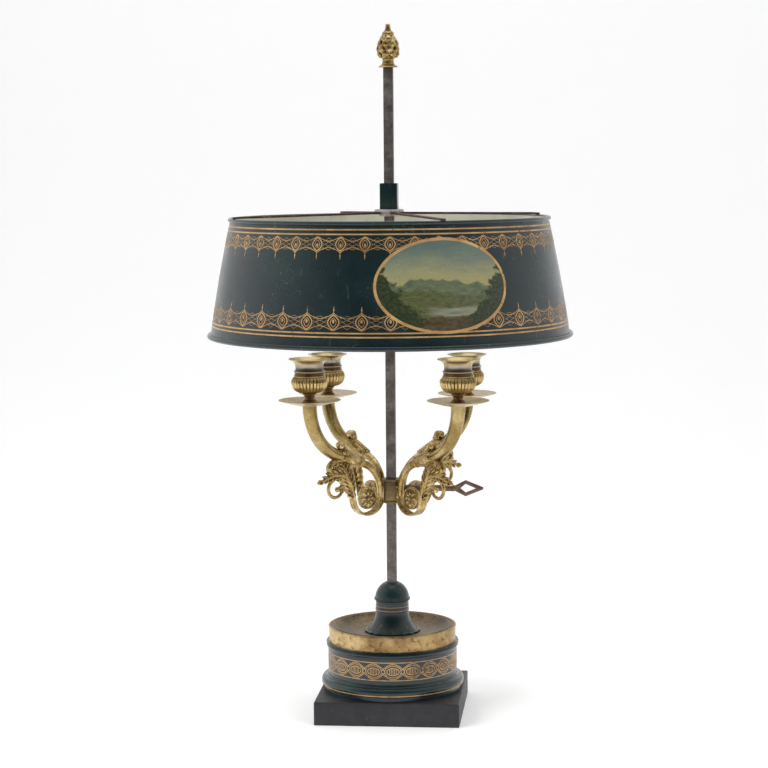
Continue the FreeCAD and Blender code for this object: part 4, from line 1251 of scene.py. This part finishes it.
def pictureMaterial():
    # a generic painted view: pale sky, far hills, a lake and dark trees at both sides
    material, nodes, links, shader = newMaterial("paintedView")
    place = nodes.new("ShaderNodeUVMap")
    place.uv_map = "picture"
    axis = nodes.new("ShaderNodeSeparateXYZ")
    links.new(place.outputs["UV"], axis.inputs[0])
    across, up = axis.outputs["X"], axis.outputs["Y"]

    def uvNoise(scale, detail, stretchX=1.0, stretchY=1.0, offset=0.0):
        shift = nodes.new("ShaderNodeMapping")
        shift.inputs["Scale"].default_value = (stretchX, stretchY, 1)
        shift.inputs["Location"].default_value = (offset, offset * 0.4, 0)
        noise = nodes.new("ShaderNodeTexNoise")
        noise.inputs["Scale"].default_value = scale
        noise.inputs["Detail"].default_value = detail
        noise.inputs["Roughness"].default_value = 0.6
        links.new(place.outputs["UV"], shift.inputs["Vector"])
        links.new(shift.outputs["Vector"], noise.inputs["Vector"])
        return noise.outputs["Fac"]

    def below(lineHeight, soft=0.02):
        # 1 under the line, 0 above it
        gap = combine(nodes, links, "SUBTRACT", lineHeight, up)
        return combine(nodes, links, "MULTIPLY_ADD", gap, 1 / soft, 0.5, clamp=True)

    sky = ramp(nodes, links,
               combine(nodes, links, "MULTIPLY_ADD", uvNoise(4, 5, 1, 2.4), 0.35,
                       combine(nodes, links, "SUBTRACT", up, 0.17)),
               [(0.45, (0.34, 0.29, 0.11)), (0.62, (0.27, 0.26, 0.13)),
                (0.82, (0.13, 0.17, 0.13)), (1.0, (0.08, 0.12, 0.11))])
    farLine = combine(nodes, links, "MULTIPLY_ADD", uvNoise(3.2, 3, 1, 0.01, 1.3), 0.42, 0.33)
    hill = ramp(nodes, links, uvNoise(14, 4, 1, 2), [(0.3, (0.06, 0.09, 0.055)), (0.7, (0.14, 0.16, 0.08))])
    color = mixColor(nodes, links, below(farLine), sky, hill)
    nearLine = combine(nodes, links, "MULTIPLY_ADD", uvNoise(2.6, 4, 1, 0.01, 4.1), 0.34, 0.24)
    meadow = ramp(nodes, links, uvNoise(20, 5, 1, 2.4),
                  [(0.3, (0.035, 0.055, 0.022)), (0.7, (0.13, 0.13, 0.045))])
    color = mixColor(nodes, links, below(nearLine), color, meadow)
    water = ramp(nodes, links, uvNoise(24, 3, 0.25, 3),
                 [(0.3, (0.10, 0.13, 0.10)), (0.7, (0.30, 0.29, 0.17))])
    lakeSide = combine(nodes, links, "ABSOLUTE", combine(nodes, links, "SUBTRACT", across, 0.60))
    lakeTop = combine(nodes, links, "MULTIPLY_ADD", uvNoise(7, 3, 1, 0.01, 3.3), 0.08, 0.225)
    lakeEdge = combine(nodes, links, "SUBTRACT", 1.0,
                       combine(nodes, links, "MULTIPLY_ADD", lakeSide, 9.0, -1.2, clamp=True))
    lake = combine(nodes, links, "MULTIPLY", combine(nodes, links, "MULTIPLY", below(lakeTop), lakeEdge),
                   combine(nodes, links, "SUBTRACT", 1.0, below(0.17)))
    color = mixColor(nodes, links, lake, color, water)
    shore = ramp(nodes, links, uvNoise(26, 5), [(0.3, (0.022, 0.018, 0.008)), (0.7, (0.11, 0.075, 0.03))])
    shoreLine = combine(nodes, links, "MULTIPLY_ADD", uvNoise(5, 4, 1, 0.01, 7.7), 0.22, 0.06)
    color = mixColor(nodes, links, below(shoreLine), color, shore)
    leafNoise = uvNoise(11, 6, 1, 1, 2.2)
    edgeGap = combine(nodes, links, "ABSOLUTE", combine(nodes, links, "SUBTRACT", across, 0.5))
    treeHeight = combine(nodes, links, "MULTIPLY_ADD", edgeGap, 2.1, -0.42)
    treeMask = combine(nodes, links, "MULTIPLY_ADD", leafNoise, 0.8,
                       combine(nodes, links, "SUBTRACT", treeHeight, up))
    trees = combine(nodes, links, "MULTIPLY", combine(nodes, links, "SUBTRACT", treeMask, 0.20), 14.0,
                    clamp=True)
    foliage = ramp(nodes, links, uvNoise(38, 5, offset=5),
                   [(0.35, (0.008, 0.014, 0.007)), (0.6, (0.035, 0.050, 0.018)),
                    (0.75, (0.10, 0.11, 0.035))])
    color = mixColor(nodes, links, trees, color, foliage)
    varnish = ramp(nodes, links, uvNoise(60, 4, offset=3), [(0.3, 0.82), (0.7, 1.08)])
    color = mixColor(nodes, links, 1.0, color, varnish, "MULTIPLY")
    links.new(color, shader.inputs["Base Color"])
    shader.inputs["Roughness"].default_value = 0.42
    shader.inputs["Coat Weight"].default_value = 0.35
    shader.inputs["Coat Roughness"].default_value = 0.18
    return material


def buildPicture(m):
    rings, sides = 18, 96
    verts, faces, spots = [], [], []
    for k in range(rings + 1):
        for i in range(sides if k else 1):
            turn = 2 * math.pi * i / sides
            s = m["halfWidth"] * k / rings * math.cos(turn)
            t = m["halfHeight"] * k / rings * math.sin(turn)
            spots.append((s / m["halfWidth"] / 2 + 0.5, t / m["halfHeight"] / 2 + 0.5))
            verts.append(onShade(math.radians(m["azimuth"]) * shadeSizes["meanRadius"] + s, m["height"] + t,
                                 0.06))
    for i in range(sides):
        faces.append([0, 1 + i, 1 + (i + 1) % sides])
    for k in range(1, rings):
        for i in range(sides):
            j = (i + 1) % sides
            a, b = 1 + (k - 1) * sides, 1 + k * sides
            faces.append([a + i, b + i, b + j, a + j])
    piece = makePiece("shade_picture", verts, faces)
    layer = piece.data.uv_layers.new(name="picture")
    for loop in piece.data.loops:
        layer.data[loop.index].uv = spots[loop.vertex_index]
    dress(piece, "shade", pictureMaterial())


buildPicture(medallion)


def buildSpider():
    for i in range(1, 5):
        arm = nodeCopy("spider_arm_%d" % i, "spider_bar_%d" % i, 0.5, 2)
        dress(arm, "shade", spiderIron, ["spider_arm_%d" % i], 40)
    hub = nodeCopy("spider_hub", "spider_boss", 0.0)
    dress(hub, "shade", tinSolder, ["spider_hub"], 40)
    sleeve = nodeCopy("shade_sleeve", "sleeve_tube", 0.5, 2)
    dress(sleeve, "shade", baseLacquer, ["shade_sleeve"], 40)


buildSpider()
print("shade made")


# studio

studio = {"key": 24.0, "fill": 12.0, "top": 12.0, "front": 0.06, "side": 0.66, "left": 0.20, "right": 0.06,
          "sweepGlow": 0.24}


def buildStudio(s):
    # pale floor that curves up into the back
    rows = [(-2.5, 0.0), (0.9, 0.0)]
    for i in range(1, 13):
        turn = math.radians(90 * i / 12)
        rows.append((0.9 + 0.9 * math.sin(turn), 0.9 - 0.9 * math.cos(turn)))
    rows.append((1.8, 3.0))
    verts, faces = [], []
    for y, z in rows:
        verts += [(-2500, y * 1000, z * 1000), (2500, y * 1000, z * 1000)]
    for k in range(len(rows) - 1):
        faces.append([2 * k, 2 * k + 1, 2 * k + 3, 2 * k + 2])
    sweep = makePiece("studio_sweep", verts, faces)
    for polygon in sweep.data.polygons:
        polygon.use_smooth = True
    material, nodes, links, shader = newMaterial("paleSweep")
    shader.inputs["Base Color"].default_value = (0.88, 0.88, 0.885, 1)
    shader.inputs["Roughness"].default_value = 0.8
    shader.inputs["Specular IOR Level"].default_value = 0.1
    shader.inputs["Emission Color"].default_value = (1, 1, 1, 1)
    shader.inputs["Emission Strength"].default_value = s["sweepGlow"]
    sweep.data.materials.append(material)

    world = bpy.data.worlds.new("studioWorld")
    bpy.context.scene.world = world
    world.use_nodes = True
    nodes, links = world.node_tree.nodes, world.node_tree.links
    place = nodes.new("ShaderNodeTexCoord")
    axis = nodes.new("ShaderNodeSeparateXYZ")
    links.new(place.outputs["Generated"], axis.inputs[0])

    def glow(socket, start, end, strength, base=0.0):
        spread = nodes.new("ShaderNodeMapRange")
        spread.inputs["From Min"].default_value = start
        spread.inputs["From Max"].default_value = end
        spread.inputs["To Min"].default_value = base
        spread.inputs["To Max"].default_value = strength
        spread.interpolation_type = "SMOOTHSTEP"
        links.new(axis.outputs[socket], spread.inputs["Value"])
        return spread.outputs[0]

    around = glow("Y", -0.85, 0.10, s["side"], s["front"])
    left = glow("X", -0.40, -0.80, s["left"])
    right = glow("X", 0.45, 0.85, s["right"])
    total = combine(nodes, links, "ADD", around, combine(nodes, links, "ADD", left, right))
    sky = nodes["Background"]
    sky.inputs["Color"].default_value = (1, 1, 1, 1)
    links.new(total, sky.inputs["Strength"])

    def panel(name, spot, aim, width, height, power, glossy):
        light = bpy.data.lights.new(name, "AREA")
        light.shape = "RECTANGLE"
        light.size, light.size_y = width, height
        light.energy = power
        lamp = bpy.data.objects.new(name, light)
        lamp.location = spot
        lamp.rotation_euler = (Vector(aim) - Vector(spot)).to_track_quat("-Z", "Y").to_euler()
        lamp.visible_glossy = glossy
        bpy.context.scene.collection.objects.link(lamp)

    panel("keyPanel", (-1.3, -1.3, 1.3), (0, 0, 0.32), 1.2, 1.2, s["key"], False)
    panel("fillPanel", (1.5, -1.2, 1.0), (0, 0, 0.32), 1.2, 1.2, s["fill"], False)
    panel("topPanel", (0.0, 0.1, 2.2), (0, 0, 0.3), 2.2, 2.2, s["top"], True)


buildStudio(studio)

view = {"focalPixels": 2160.0, "azimuth": 5.6, "pitch": 6.0, "distance": 2073.6, "targetX": -6.3,
        "targetZ": 318.1,
        "roll": 0.45}


def buildCamera(v):
    turn, pitch, roll = (math.radians(v[k]) for k in ("azimuth", "pitch", "roll"))
    ahead = Vector((-math.sin(turn) * math.cos(pitch), math.cos(turn) * math.cos(pitch), -math.sin(pitch)))
    right = Vector((math.cos(turn), math.sin(turn), 0))
    up = right.cross(ahead)
    target = Vector((v["targetX"] * math.cos(turn), v["targetX"] * math.sin(turn), v["targetZ"])) * mm
    spot = target - ahead * v["distance"] * mm
    tiltedUp = up * math.cos(roll) + right * math.sin(roll)
    tiltedRight = right * math.cos(roll) - up * math.sin(roll)
    data = bpy.data.cameras.new("photoCamera")
    data.sensor_width = 36.0
    data.lens = 36.0 * v["focalPixels"] / 768
    data.clip_end = 50
    camera = bpy.data.objects.new("photoCamera", data)
    bpy.context.scene.collection.objects.link(camera)
    axes = Matrix((tiltedRight, tiltedUp, -ahead)).transposed().to_4x4()
    camera.matrix_world = Matrix.Translation(spot) @ axes
    bpy.context.scene.camera = camera


buildCamera(view)
bpy.context.scene.view_settings.view_transform = "Standard"
print("studio made")
